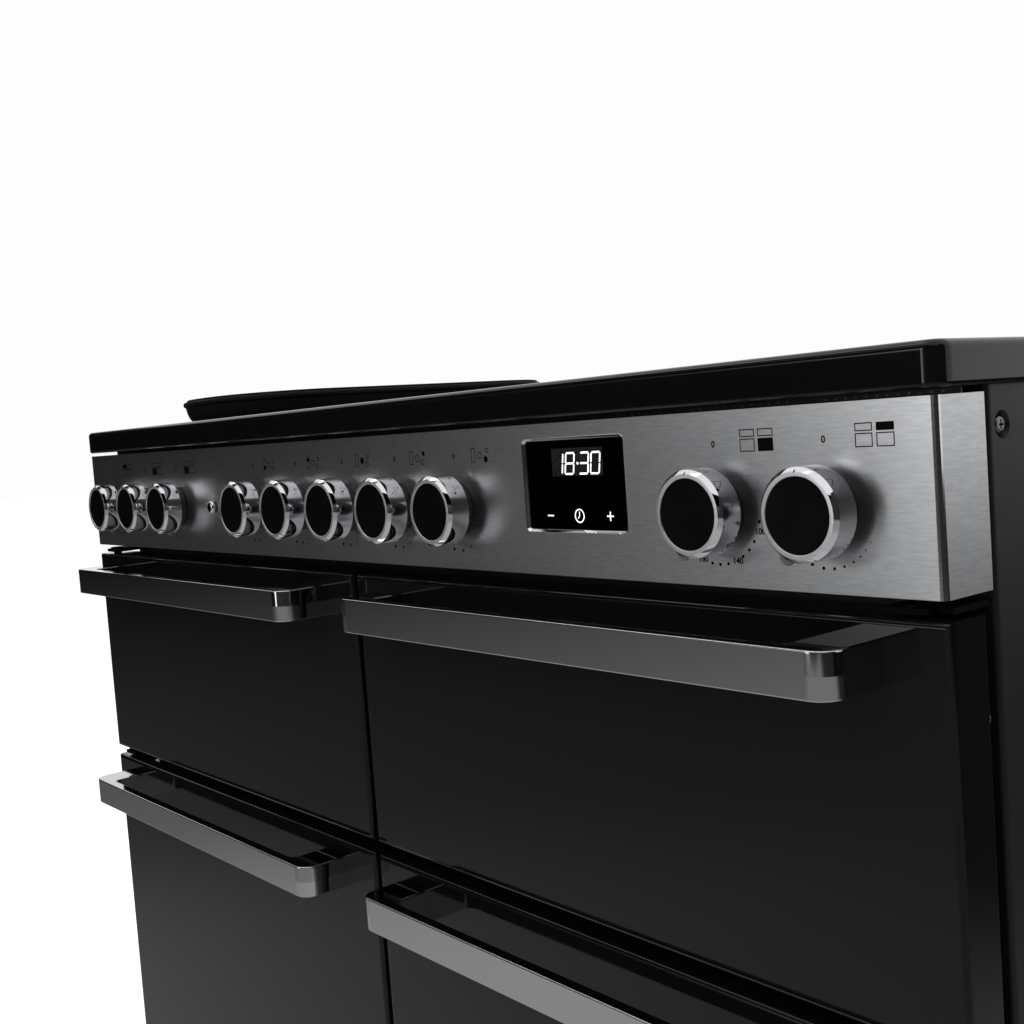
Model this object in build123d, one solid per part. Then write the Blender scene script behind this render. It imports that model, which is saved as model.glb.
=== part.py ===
from build123d import *
from math import cos, radians, sin, sqrt
import os

# Induction range cooker with four oven cavities. Millimetres, +Z up, X across, Y from the front to the back.
# The origin is on the floor, under the middle of the whole cooker.

# Cabinet
body_width = 992.0
body_depth = 608.0
hob_height = 905.0
cabinet_setback = 42.0
rear_overhang = 30.0
rear_panel_drop = 20.0
panel_sheet = 1.5
panel_bend = 3.0
flange_width = 12.0
frame_sheet = 2.0
frame_foot = 17.0
base_height = 30.0
base_sheet = 2.0
base_lip = 60.0
plinth_setback = 60.0
plinth_clearance = 4.0
rear_slot_length = 120.0
rear_slot_height = 5.0
rear_slot_pitch = 14.0
rear_slot_count = 8

# Levelling feet
foot_inset = 60.0
foot_pad_radius = 22.0
foot_pad_height = 8.0
foot_collar_radius = 12.0
foot_collar_height = 8.0
foot_stem_radius = 6.0
foot_stem_spare = 12.0
foot_boss_radius = 12.0
foot_boss_height = 30.0

# Control panel
panel_height = 92.5
panel_return = 39.4
panel_edge = 1.4
knob_drop = 52.1
knob_pitch = 70.0
oven_knob_inset = 62.3
zone_knob_centre = -3.5
display_centre = 252.5
display_drop = 37.5
display_width = 89.6
display_height = 57.7
display_corner = 3.5
display_rim = 1.8
display_recess = 1.6
display_glass = 2.0
display_board_depth = 15.0
lens_across = 24.8
lens_drop = 23.0
lens_radius = 4.5
lens_height = 1.2
lens_stem_radius = 3.5
lens_stem_length = 6.0

# Knobs, push button and the switches behind them
knob_radius = 23.2
knob_front = 23.3
knob_gap = 7.6
knob_bevel = 2.1
knob_face_radius = 18.9
knob_face_recess = 0.4
knob_face_sheet = 1.2
knob_skirt_radius = 18.0
knob_skirt_clearance = 0.8
knob_socket_radius = 8.0
knob_socket_depth = 9.0
knob_notch_width = 0.8
knob_notch_depth = 0.6
spindle_radius = 3.0
spindle_reach = 18.0
switch_width = 36.0
switch_depth = 32.0
switch_nose_radius = 4.9
switch_nose_length = 3.0
button_radius = 5.5
button_front = 6.0
button_thickness = 3.0
button_stem_radius = 2.5
button_stem_length = 18.0

# Hob
surround_rise = 24.9
surround_gap = 3.1
surround_reach = 2.2
surround_overhang = 4.0
surround_corner = 9.5
surround_top_round = 4.5
surround_bottom_round = 2.5
surround_wall = 6.0
surround_plate = 8.0
surround_rim = 18.0
surround_front_rim = 21.0
surround_rear_rim = 62.0
glass_ledge = 8.0
glass_thickness = 5.0
glass_clearance = 0.5
vent_slot_width = 9.0
vent_slot_length = 26.0
vent_slot_pitch = 18.0
vent_slot_count = 44
tray_depth = 55.0
tray_sheet = 1.5
tray_flange = 10.0
tray_clearance = 6.0
coil_radius = 95.0
coil_large_radius = 115.0
coil_hole_radius = 20.0
coil_height = 10.0
coil_gap = 2.0
coil_post_radius = 26.0
zone_side_inset = 150.0
zone_end_inset = 118.0
board_width = 110.0
board_length = 300.0
board_height = 22.0

# Griddle plate lying on the hob
griddle_width = 214.7
griddle_length = 405.6
griddle_height = 24.7
griddle_inset = 20.6
griddle_setback = 55.6
griddle_corner = 95.0
griddle_bead_rise = 17.2
griddle_bead_height = 5.4
griddle_bead_round = 2.2
griddle_rim_inset = 3.8
griddle_rim_round = 1.0
griddle_wall_rises = (0.0, 1.0, 3.0, 5.4, 7.8, 11.4, 15.0, 18.0)
griddle_wall_insets = (12.0, 10.0, 7.7, 5.8, 4.5, 3.3, 2.4, 2.0)
griddle_mouth_inset = 7.0
griddle_floor_inset = 15.0
griddle_floor = 9.0

# Doors and their hinges
door_setback = 0.4
door_overhang = 1.4
door_thickness = 28.0
door_gap_top = 9.7
door_gap_middle = 9.3
door_gap_centre = 6.0
upper_door_height = 205.8
lower_door_rise = 132.8
door_round = 3.5
door_skin = 4.0
door_wall = 3.0
door_liner_inset = 1.0
door_liner_sheet = 2.0
door_dish_depth = 6.0
door_dish_round = 3.0
pin_inset = 23.0
pin_setback = 10.0
pin_radius = 4.0
pin_engagement = 14.0
pin_collar_radius = 6.5
pin_collar_height = 1.5
pin_end_clearance = 1.0
hinge_boss_radius = 8.0
hinge_boss_height = 22.0
bracket_sheet = 3.0
bracket_clearance = 2.0
bracket_half_width = 14.0
bracket_nose = 7.0
bracket_ear_inset = 3.0

# Door handles
handle_reach = 41.9
handle_bar = 8.8
handle_height = 24.0
handle_inset = 36.9
handle_leg = 31.5
handle_corner = 12.0
handle_inner_corner = 6.0
handle_drop = 9.8
handle_edge = 1.0

# Oven cavities
cavity_margin = 26.0
cavity_side_margin = 47.0
cavity_rear_space = 101.0
liner_sheet = 2.0
liner_flange = 14.0
insulation = 18.0
seal_offset = 4.0
seal_width = 8.0
seal_cover = 2.0
element_radius = 3.3
element_drop = 15.0
element_pitch = 60.0
element_runs = 4
element_length = 300.0
element_bend = 28.0
element_plate_height = 24.0
element_plate_sheet = 3.0
fan_radius = 70.0
fan_hub_radius = 12.0
fan_disc_sheet = 1.5
fan_blade_count = 12
fan_blade_inner = 40.0
fan_blade_height = 20.0
fan_blade_sheet = 1.5
fan_wall_gap = 8.0
fan_shaft_radius = 4.0
fan_shaft_hole = 9.0
motor_radius = 34.0
motor_length = 48.0
motor_plate = 110.0
motor_plate_sheet = 2.0
ring_element_radius = 96.0
baffle_width = 280.0
baffle_depth = 44.0
baffle_sheet = 1.5
baffle_hole_radius = 5.0
baffle_hole_ring = 45.0
baffle_hole_count = 12
wire_overrun = 4.0
wire_weld = 0.8
rack_wire = 2.5
rack_peg = 2.0
rack_post_offset = 6.0
rack_weld = 0.5
rack_end_inset = 45.0
rack_level_pitch = 62.0
rack_first_level = 45.0
shelf_wire = 3.0
shelf_end_wire = 2.6
shelf_cross_wire = 1.6
shelf_cross_count = 15
shelf_setback = 20.0
shelf_rear_gap = 26.0
shelf_side_clearance = 1.0
pan_side_gap = 20.0
pan_rear_gap = 90.0
pan_height = 30.0
pan_sheet = 2.0
pan_rim = 8.0
pan_trivet_wire = 2.0
pan_trivet_cross_wire = 1.6
pan_trivet_count = 11
pan_trivet_drop = 8.0

# Fasteners and the mains terminal box
screw_head_radius = 4.2
screw_head_height = 2.6
screw_shank_radius = 2.0
screw_shank_length = 8.0
screw_slot_width = 1.0
screw_slot_depth = 1.2
screw_setback = 12.0
screw_drop = 16.0
screw_rear_inset = 30.0
screw_base_rise = 45.0
screw_flange_inset = 9.0
screw_door_drop = 52.6
dish_radius = 6.8
dish_floor_radius = 5.0
dish_depth = 3.2
terminal_width = 160.0
terminal_height = 100.0
terminal_depth = 28.0
terminal_wall = 2.5
terminal_inset = 196.0
terminal_rise = 110.0
gland_radius = 13.5
gland_bore_radius = 10.0
gland_length = 14.0

# Clearances between pieces
running_clearance = 0.05
sliding_clearance = 0.1
seat_clearance = 0.3
hole_clearance = 0.1

# Planes across the cooker: half width and the doors' edges
half_width = body_width / 2
door_inner = door_gap_centre / 2
door_outer = half_width + door_overhang
door_centre = (door_inner + door_outer) / 2

# Planes from the front to the back
total_depth = body_depth + handle_reach - door_setback
panel_face = handle_reach - door_setback - total_depth / 2
door_face = panel_face + door_setback
door_back = door_face + door_thickness
cabinet_front = panel_face + cabinet_setback
frame_face = cabinet_front + panel_sheet
frame_back = frame_face + frame_sheet
hob_back = panel_face + body_depth
rear_face = hob_back - rear_overhang
rear_inside = rear_face - panel_sheet
cavity_back = rear_inside - cavity_rear_space
liner_back = cavity_back + liner_sheet
plinth_face = panel_face + plinth_setback
plinth_back = plinth_face + panel_sheet

# Planes from the floor up
panel_top = hob_height - surround_rise
surround_bottom = panel_top + surround_gap
panel_bottom = panel_top - panel_height
knob_axis = panel_top - knob_drop
upper_door = (panel_bottom - door_gap_top - upper_door_height, panel_bottom - door_gap_top)
lower_door = (lower_door_rise, upper_door[0] - door_gap_middle)
frame_bottom = lower_door[0] - frame_foot
plate_underside = hob_height - surround_plate

# Oven cavities behind the doors, on the right-hand side
cavity_x = (door_inner + cavity_side_margin, door_outer - cavity_side_margin)
upper_cavity = (upper_door[0] + cavity_margin, upper_door[1] - cavity_margin)
lower_cavity = (lower_door[0] + cavity_margin, lower_door[1] - cavity_margin)

# Hinge axis of the right-hand doors
pin_x = door_outer - pin_inset
pin_y = door_face + pin_setback

oven_knob_reach = half_width - oven_knob_inset
knob_places = {
    "knob_top_left_oven": -oven_knob_reach,
    "knob_bottom_left_function": -oven_knob_reach + knob_pitch,
    "knob_bottom_left_oven": -oven_knob_reach + 2 * knob_pitch,
    "knob_zone_1": zone_knob_centre - 2 * knob_pitch,
    "knob_zone_2": zone_knob_centre - knob_pitch,
    "knob_zone_3": zone_knob_centre,
    "knob_zone_4": zone_knob_centre + knob_pitch,
    "knob_zone_5": zone_knob_centre + 2 * knob_pitch,
    "knob_bottom_right_oven": oven_knob_reach - knob_pitch,
    "knob_top_right_oven": oven_knob_reach,
}
lens_knobs = ("knob_top_left_oven", "knob_bottom_left_oven", "knob_bottom_right_oven", "knob_top_right_oven")
button_place = (knob_places["knob_bottom_left_oven"] + knob_places["knob_zone_1"]) / 2

MIDDLE_BASE = (Align.CENTER, Align.CENTER, Align.MIN)


def block(x, y, z):
    """Box between the (low, high) pairs given for the three axes."""
    spans = (x, y, z)
    centre = [(low + high) / 2 for low, high in spans]
    size = [high - low for low, high in spans]
    return Pos(*centre) * Box(*size)


def around(middle, width):
    """(low, high) pair of the given width about a middle."""
    return (middle - width / 2, middle + width / 2)


def grown(span, margin):
    """(low, high) pair moved out by a margin at both ends."""
    return (span[0] - margin, span[1] + margin)


def bar(start, end, radius):
    """Round bar from one point to another."""
    along = Vector(*end) - Vector(*start)
    return Plane(origin=start, z_dir=along) * Cylinder(radius, along.length, align=MIDDLE_BASE)


def left(shape):
    """The same piece on the left-hand side."""
    return mirror(shape, Plane.YZ)


def joined(pieces):
    """One solid from pieces that overlap."""
    return pieces[0] + list(pieces[1:])


def write(name, *solids):
    """Keeps one named piece, or a group of separate solids under one name."""
    shape = solids[0] if len(solids) == 1 else Compound(children=list(solids))
    shape.label = name
    export_step(shape, f"parts/{name}.step")
    print(name, len(solids))


def side_screw_places():
    """(y, z) of the screws in a side panel."""
    front = cabinet_front + screw_setback
    rear = rear_face - screw_rear_inset
    top = panel_top - screw_drop
    bottom = base_height + screw_base_rise
    return [(y, z) for y in (front, rear) for z in (top, bottom)]


def flange_screw_places():
    """Heights of the screws in a side panel's front flange, beside the doors."""
    return [upper_door[1] - screw_door_drop, lower_door[1] - screw_door_drop, lower_door[0] + screw_door_drop]


def side_panel():
    """Right-hand side sheet with its turned-in front flange and dished screw seats."""
    height = (base_height, surround_bottom)
    length = (cabinet_front, rear_face)
    outside = block((half_width - flange_width, half_width), length, height)
    front_corner = outside.edges().filter_by(Axis.Z).sort_by_distance((half_width, cabinet_front, 0))[0]
    outside = fillet(front_corner, panel_bend)
    inside_x = (half_width - flange_width, half_width - panel_sheet)
    inside = block(inside_x, (frame_face, rear_face), height)
    inner_corner = inside.edges().filter_by(Axis.Z).sort_by_distance((inside_x[1], frame_face, 0))[0]
    inside = fillet(inner_corner, panel_bend - panel_sheet)
    panel = outside - inside
    for y, z in side_screw_places():
        cup_end = half_width - panel_sheet - dish_depth
        panel += bar((half_width - panel_sheet, y, z), (cup_end, y, z), dish_radius)
        inward = Plane(origin=(half_width, y, z), z_dir=(-1, 0, 0))
        panel -= inward * Cone(dish_radius, dish_floor_radius, dish_depth, align=MIDDLE_BASE)
        panel -= bar((half_width, y, z), (cup_end, y, z), screw_shank_radius + hole_clearance)
    for z in flange_screw_places():
        x = half_width - screw_flange_inset
        panel -= bar((x, cabinet_front, z), (x, frame_face, z), screw_shank_radius + hole_clearance)
    return panel


def screw(seat, direction):
    """Cross-head screw whose head sits on the seat and whose shank follows the direction."""
    into = Plane(origin=seat, z_dir=direction)
    out = Plane(origin=seat, z_dir=[-part for part in direction])
    head = Cylinder(screw_head_radius, screw_head_height, align=MIDDLE_BASE)
    head = fillet(head.edges().sort_by(Axis.Z)[-1], screw_head_height / 2)
    for turn in (0, 90):
        slot = Box(screw_head_radius * 1.2, screw_slot_width, screw_slot_depth, align=MIDDLE_BASE)
        head -= Pos(0, 0, screw_head_height - screw_slot_depth) * Rot(0, 0, turn) * slot
    shank = Cylinder(screw_shank_radius, screw_shank_length, align=MIDDLE_BASE)
    return out * head + into * shank


def panel_screws():
    """All the visible cabinet screws."""
    seat_x = half_width - dish_depth
    found = [screw((seat_x, y, z), (-1, 0, 0)) for y, z in side_screw_places()]
    flange_x = half_width - screw_flange_inset
    found += [screw((flange_x, cabinet_front, z), (0, 1, 0)) for z in flange_screw_places()]
    return found + [left(one) for one in found]


def rear_panel():
    """Back sheet with two banks of cooling slots."""
    across = (panel_sheet - half_width, half_width - panel_sheet)
    top = panel_top - rear_panel_drop
    panel = block(across, (rear_inside, rear_face), (base_height, top))
    first = top - rear_panel_drop - rear_slot_pitch * rear_slot_count
    for side in (-door_centre, door_centre):
        for index in range(rear_slot_count):
            height = around(first + rear_slot_pitch * index, rear_slot_height)
            panel -= block(around(side, rear_slot_length), (rear_inside, rear_face), height)
    return panel


def base_pan():
    """Floor sheet with the upturned front lip and the four bosses for the feet."""
    across = (panel_sheet - half_width, half_width - panel_sheet)
    floor = (base_height, base_height + base_sheet)
    pan = block(across, (plinth_back, rear_inside), floor)
    pan += block(across, (plinth_back, plinth_back + base_sheet), (base_height, base_height + base_lip))
    for x, y in foot_places().values():
        pan += bar((x, y, base_height), (x, y, base_height + foot_boss_height), foot_boss_radius)
    for x, y in foot_places().values():
        bore = foot_stem_radius + sliding_clearance
        pan -= bar((x, y, base_height), (x, y, base_height + foot_boss_height), bore)
    return pan


def foot_places():
    """(x, y) of each levelling foot."""
    across = half_width - foot_inset
    front = plinth_back + foot_inset
    rear = rear_face - foot_inset
    return {
        "foot_front_left": (-across, front),
        "foot_front_right": (across, front),
        "foot_rear_left": (-across, rear),
        "foot_rear_right": (across, rear),
    }


def levelling_foot(x, y):
    """Threaded foot: round pad, spanner collar and stem."""
    collar_top = foot_pad_height + foot_collar_height
    stem_top = base_height + foot_boss_height + foot_stem_spare
    pad = Cylinder(foot_pad_radius, foot_pad_height, align=MIDDLE_BASE)
    pad = chamfer(pad.edges().sort_by(Axis.Z)[-1], foot_pad_height / 3)
    collar = extrude(Plane.XY.offset(foot_pad_height) * RegularPolygon(foot_collar_radius, 6), foot_collar_height)
    stem = bar((0, 0, collar_top), (0, 0, stem_top), foot_stem_radius)
    return Pos(x, y, 0) * (pad + collar + stem)


def plinth_panel():
    """Sheet that closes the front under the doors."""
    across = half_width - panel_sheet - plinth_clearance
    height = (base_height, frame_bottom - plinth_clearance)
    return block((-across, across), (plinth_face, plinth_back), height)


def front_frame():
    """Sheet frame with the four oven mouths, between the side panels."""
    across = (panel_bend - half_width, half_width - panel_bend)
    frame = block(across, (frame_face, frame_back), (frame_bottom, panel_top))
    for height in (upper_cavity, lower_cavity):
        mouth = block(cavity_x, (frame_face, frame_back), height)
        frame -= mouth
        frame -= left(mouth)
    for z in flange_screw_places():
        x = half_width - screw_flange_inset
        hole = bar((x, frame_face, z), (x, frame_back, z), screw_shank_radius + hole_clearance)
        frame -= hole
        frame -= left(hole)
    return frame


def hinge_bracket(z):
    """Hinge plate that stands out of the front frame on the right-hand side, with its bottom at z."""
    height = (z, z + bracket_sheet)
    front = pin_y - bracket_nose
    plate = block((pin_x - bracket_half_width, half_width - flange_width), (front, frame_face), height)
    plate += block((pin_x, half_width - bracket_ear_inset), (pin_y, cabinet_front), height)
    return plate - bar((pin_x, pin_y, z), (pin_x, pin_y, z + bracket_sheet), pin_radius + running_clearance)


def hinge_pin(low, high, collar_low):
    """Pin between two heights, with the collar that seats it on its bracket."""
    pin = bar((pin_x, pin_y, low), (pin_x, pin_y, high), pin_radius)
    collar_high = collar_low + pin_collar_height
    return pin + bar((pin_x, pin_y, collar_low), (pin_x, pin_y, collar_high), pin_collar_radius)


def hinge_set():
    """Three brackets and three pins of the right-hand side."""
    top = upper_door[1] + bracket_clearance
    middle = (upper_door[0] + lower_door[1] - bracket_sheet) / 2
    bottom = lower_door[0] - bracket_clearance - bracket_sheet
    brackets = [hinge_bracket(z) for z in (top, middle, bottom)]
    top_pin = hinge_pin(upper_door[1] - pin_engagement, top + bracket_sheet, top + bracket_sheet)
    middle_ends = (lower_door[1] - pin_engagement, upper_door[0] + pin_engagement)
    middle_pin = hinge_pin(*middle_ends, middle + bracket_sheet)
    bottom_pin = hinge_pin(bottom, lower_door[0] + pin_engagement, bottom - pin_collar_height)
    return brackets + [top_pin, middle_pin, bottom_pin]


def door_panel(height):
    """Right-hand outer door: rounded front skin, turned-back edges and two bored hinge bosses."""
    outside = block((door_inner, door_outer), (door_face, door_back), height)
    outside = fillet(outside.faces().sort_by(Axis.Y)[0].edges(), door_round)
    inside_x = grown((door_inner, door_outer), -door_wall)
    panel = outside - block(inside_x, (door_face + door_skin, door_back), grown(height, -door_wall))
    for end, inward in ((height[0], 1), (height[1], -1)):
        mouth = (pin_x, pin_y, end)
        boss = bar(mouth, (pin_x, pin_y, end + inward * hinge_boss_height), hinge_boss_radius)
        panel += boss & outside
        bore_end = end + inward * (pin_engagement + pin_end_clearance)
        panel -= bar(mouth, (pin_x, pin_y, bore_end), pin_radius + running_clearance)
    return panel


def door_liner(height, cavity):
    """Right-hand inner door: flat sheet on the door's rim, with a raised dish over the seal."""
    across = grown((door_inner, door_outer), -door_liner_inset)
    sheet_back = door_back + door_liner_sheet
    sheet = block(across, (door_back, sheet_back), grown(height, -door_liner_inset))
    cover = seal_offset + seal_width + seal_cover
    dish = block(grown(cavity_x, cover), (sheet_back, sheet_back + door_dish_depth), grown(cavity, cover))
    dish = fillet(dish.faces().sort_by(Axis.Y)[-1].edges(), door_dish_round)
    pressed = cover - door_liner_sheet
    pocket_y = (door_back, sheet_back + door_dish_depth - door_liner_sheet)
    return sheet + dish - block(grown(cavity_x, pressed), pocket_y, grown(cavity, pressed))


def door_handle(door_top):
    """Right-hand handle: a thin front bar that turns round into two broad legs on the door."""
    across = grown((door_inner, door_outer), -handle_inset)
    top = door_top - handle_drop
    height = (top - handle_height, top)
    front = door_face - handle_reach
    outside = block(across, (front, door_face), height)
    outside = fillet(outside.edges().filter_by(Axis.Z).group_by(Axis.Y)[0], handle_corner)
    hand_gap = block(grown(across, -handle_leg), (front + handle_bar, door_face), height)
    hand_gap = fillet(hand_gap.edges().filter_by(Axis.Z).group_by(Axis.Y)[0], handle_inner_corner)
    handle = outside - hand_gap
    level_edges = handle.faces().sort_by(Axis.Z)[0].edges() + handle.faces().sort_by(Axis.Z)[-1].edges()
    shown = [edge for edge in level_edges if edge.center().Y < door_face - handle_edge]
    return fillet(shown, handle_edge)


def door_seal(cavity):
    """Rope seal round the mouth of a right-hand cavity."""
    front = door_back + door_liner_sheet + door_dish_depth + seat_clearance
    outer = seal_offset + seal_width
    ring = block(grown(cavity_x, outer), (front, frame_face), grown(cavity, outer))
    return ring - block(grown(cavity_x, seal_offset), (front, frame_face), grown(cavity, seal_offset))


def oven_liner(cavity, shaft_hole):
    """Enamelled box of a right-hand cavity, with the flange that meets the front frame."""
    outside = block(grown(cavity_x, liner_sheet), (frame_back, liner_back), grown(cavity, liner_sheet))
    flange_y = (frame_back, frame_back + liner_sheet)
    outside += block(grown(cavity_x, liner_flange), flange_y, grown(cavity, liner_flange))
    liner = outside - block(cavity_x, (frame_back, cavity_back), cavity)
    if shaft_hole:
        z = sum(cavity) / 2
        liner -= bar((door_centre, cavity_back, z), (door_centre, liner_back, z), fan_shaft_hole)
    return liner


def oven_jacket(cavity):
    """Insulation sleeve round a right-hand liner."""
    length = (frame_back + liner_sheet, liner_back)
    inner_x = grown(cavity_x, liner_sheet)
    inner_z = grown(cavity, liner_sheet)
    jacket = block(grown(inner_x, insulation), length, grown(inner_z, insulation))
    jacket -= block(inner_x, length, inner_z)
    flange_y = (frame_back, frame_back + liner_sheet)
    return jacket - block(grown(cavity_x, liner_flange), flange_y, grown(cavity, liner_flange))


def grill_element(cavity):
    """Serpentine rod under the roof of a right-hand upper cavity, on its terminal plate."""
    z = cavity[1] - element_drop
    plate_face = cavity_back - element_plate_sheet
    near = plate_face - element_length
    far = plate_face - element_pitch
    span = element_pitch * (element_runs - 1)
    first = door_centre - span / 2
    points = [(first, plate_face, z)]
    for run in range(element_runs):
        x = first + element_pitch * run
        ends = (near, far) if run % 2 else (far, near)
        points += [(x, y, z) for y in ends]
    points[1] = (first, near, z)
    points.pop(2)
    points[-1] = (first + span, plate_face, z)
    path = FilletPolyline(*points, radius=element_bend)
    rod = sweep(Plane(origin=points[0], z_dir=(0, -1, 0)) * Circle(element_radius), path=path)
    height = around(z, element_plate_height)
    plate = block(around(door_centre, span + element_plate_height), (plate_face, cavity_back), height)
    return rod + plate


def ring_element(cavity):
    """Ring element round a right-hand oven fan, on two feet that reach the back wall."""
    z = sum(cavity) / 2
    y = cavity_back - fan_wall_gap - fan_blade_height / 2
    ring = Pos(door_centre, y, z) * Rot(90, 0, 0) * Torus(ring_element_radius, element_radius)
    for side in (-1, 1):
        x = door_centre + side * ring_element_radius
        ring += bar((x, y, z), (x, cavity_back, z), element_radius)
    return ring


def oven_fan(cavity):
    """Right-hand fan wheel on its shaft."""
    z = sum(cavity) / 2
    back = cavity_back - fan_wall_gap
    front = back - fan_blade_height
    shaft_end = liner_back + motor_plate_sheet + motor_length
    pieces = [
        bar((door_centre, back - fan_disc_sheet, z), (door_centre, back, z), fan_radius),
        bar((door_centre, front, z), (door_centre, back, z), fan_hub_radius),
        bar((door_centre, front, z), (door_centre, shaft_end, z), fan_shaft_radius),
    ]
    for index in range(fan_blade_count):
        reach = (fan_blade_inner, fan_radius)
        blade = block(reach, (front, back), around(0, fan_blade_sheet))
        turn = 360 * index / fan_blade_count
        pieces.append(Pos(door_centre, 0, z) * Rot(0, turn, 0) * blade)
    return joined(pieces)


def fan_motor(cavity):
    """Right-hand fan motor behind the liner, bored for the shaft."""
    z = sum(cavity) / 2
    plate_back = liner_back + motor_plate_sheet
    motor = block(around(door_centre, motor_plate), (liner_back, plate_back), around(z, motor_plate))
    motor += bar((door_centre, plate_back, z), (door_centre, plate_back + motor_length, z), motor_radius)
    motor_end = plate_back + motor_length
    return motor - bar((door_centre, liner_back, z), (door_centre, motor_end, z), fan_shaft_radius + running_clearance)


def fan_baffle(cavity):
    """Right-hand fan cover: shallow box on the back wall with a ring of air holes and open sides."""
    z = sum(cavity) / 2
    front = cavity_back - baffle_depth
    across = around(door_centre, baffle_width)
    height = around(z, baffle_width)
    baffle = block(across, (front, cavity_back), height)
    baffle -= block(grown(across, -baffle_sheet), (front + baffle_sheet, cavity_back), grown(height, -baffle_sheet))
    for side in (-1, 1):
        wall = (door_centre + side * baffle_width / 2, z)
        window = around(wall[0], 4 * baffle_sheet)
        inner_y = (front + baffle_depth / 3, cavity_back - baffle_depth / 3)
        baffle -= block(window, inner_y, around(wall[1], baffle_width / 2))
    for index in range(baffle_hole_count):
        turn = radians(360 * index / baffle_hole_count)
        x = door_centre + baffle_hole_ring * cos(turn)
        hole_z = z + baffle_hole_ring * sin(turn)
        baffle -= bar((x, front, hole_z), (x, front + baffle_sheet, hole_z), baffle_hole_radius)
    return baffle


def rack_levels(cavity):
    """Heights of the shelf runners in a cavity."""
    room = cavity[1] - cavity[0] - 2 * rack_first_level
    count = int(room / rack_level_pitch) + 1
    return [cavity[0] + rack_first_level + rack_level_pitch * level for level in range(count)]


def runner_offset():
    """Distance of the shelf runners from the cavity wall: they are welded to the posts."""
    return rack_post_offset + 2 * rack_wire - rack_weld


def shelf_rack(cavity):
    """Wire ladder on the right-hand wall of a right-hand cavity."""
    wall = cavity_x[1]
    post_x = wall - rack_post_offset
    runner_x = wall - runner_offset()
    front = frame_back + rack_end_inset
    rear = cavity_back - baffle_depth - rack_end_inset
    levels = rack_levels(cavity)
    top = levels[-1] + rack_first_level / 2
    bottom = levels[0] - rack_first_level / 2
    wires = []
    for y in (front, rear):
        wires.append(bar((post_x, y, bottom), (post_x, y, top), rack_wire))
        for z in (bottom + wire_overrun, top - wire_overrun):
            wires.append(bar((post_x, y, z), (wall, y, z), rack_peg))
    for z in levels:
        ends = (front - wire_overrun, rear + wire_overrun)
        wires.append(bar((runner_x, ends[0], z), (runner_x, ends[1], z), rack_wire))
    return joined(wires)


def shelf_rack_pair(cavity):
    """Ladders on both walls of a right-hand cavity."""
    rack = shelf_rack(cavity)
    middle = Plane(origin=(door_centre, 0, 0), z_dir=(1, 0, 0))
    return [rack, mirror(rack, middle)]


def wire_shelf(cavity):
    """Chromed wire shelf lying just over the middle pair of runners in a right-hand cavity."""
    side_offset = rack_post_offset + rack_wire + shelf_side_clearance + shelf_wire
    lean = side_offset - runner_offset()
    rise = sqrt((rack_wire + shelf_wire + seat_clearance) ** 2 - lean**2)
    levels = rack_levels(cavity)
    z = levels[(len(levels) - 1) // 2] + rise
    front = frame_back + shelf_setback
    rear = cavity_back - baffle_depth - shelf_rear_gap
    across = grown(cavity_x, -side_offset)
    wires = [bar((x, front, z), (x, rear, z), shelf_wire) for x in across]
    ends = (front + wire_overrun, rear - wire_overrun)
    welded = grown(across, wire_weld)
    wires += [bar((welded[0], y, z), (welded[1], y, z), shelf_end_wire) for y in ends]
    pitch = (across[1] - across[0]) / (shelf_cross_count + 1)
    for index in range(shelf_cross_count):
        x = across[0] + pitch * (index + 1)
        wires.append(bar((x, ends[0], z), (x, ends[1], z), shelf_cross_wire))
    return joined(wires)


def grill_pan(cavity):
    """Right-hand grill pan on the cavity floor, and the wire trivet that lies in it."""
    floor = cavity[0] + seat_clearance
    top = floor + pan_height
    front = frame_back + shelf_setback
    length = (front, cavity_back - pan_rear_gap)
    across = grown(cavity_x, -pan_side_gap)
    pan = block(grown(across, -pan_rim), grown(length, -pan_rim), (floor, top))
    pan += block(across, length, (top - pan_sheet, top))
    inside_x = grown(across, -pan_rim - pan_sheet)
    inside_y = grown(length, -pan_rim - pan_sheet)
    pan -= block(inside_x, inside_y, (floor + pan_sheet, top))
    z = top - pan_trivet_drop
    wires = [bar((x, inside_y[0], z), (x, inside_y[1], z), pan_trivet_wire) for x in grown(inside_x, -pan_rim)]
    pitch = (inside_y[1] - inside_y[0]) / (pan_trivet_count + 1)
    for index in range(pan_trivet_count):
        y = inside_y[0] + pitch * (index + 1)
        wires.append(bar((inside_x[0] + pan_rim, y, z), (inside_x[1] - pan_rim, y, z), pan_trivet_cross_wire))
    return pan, joined(wires)


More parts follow.
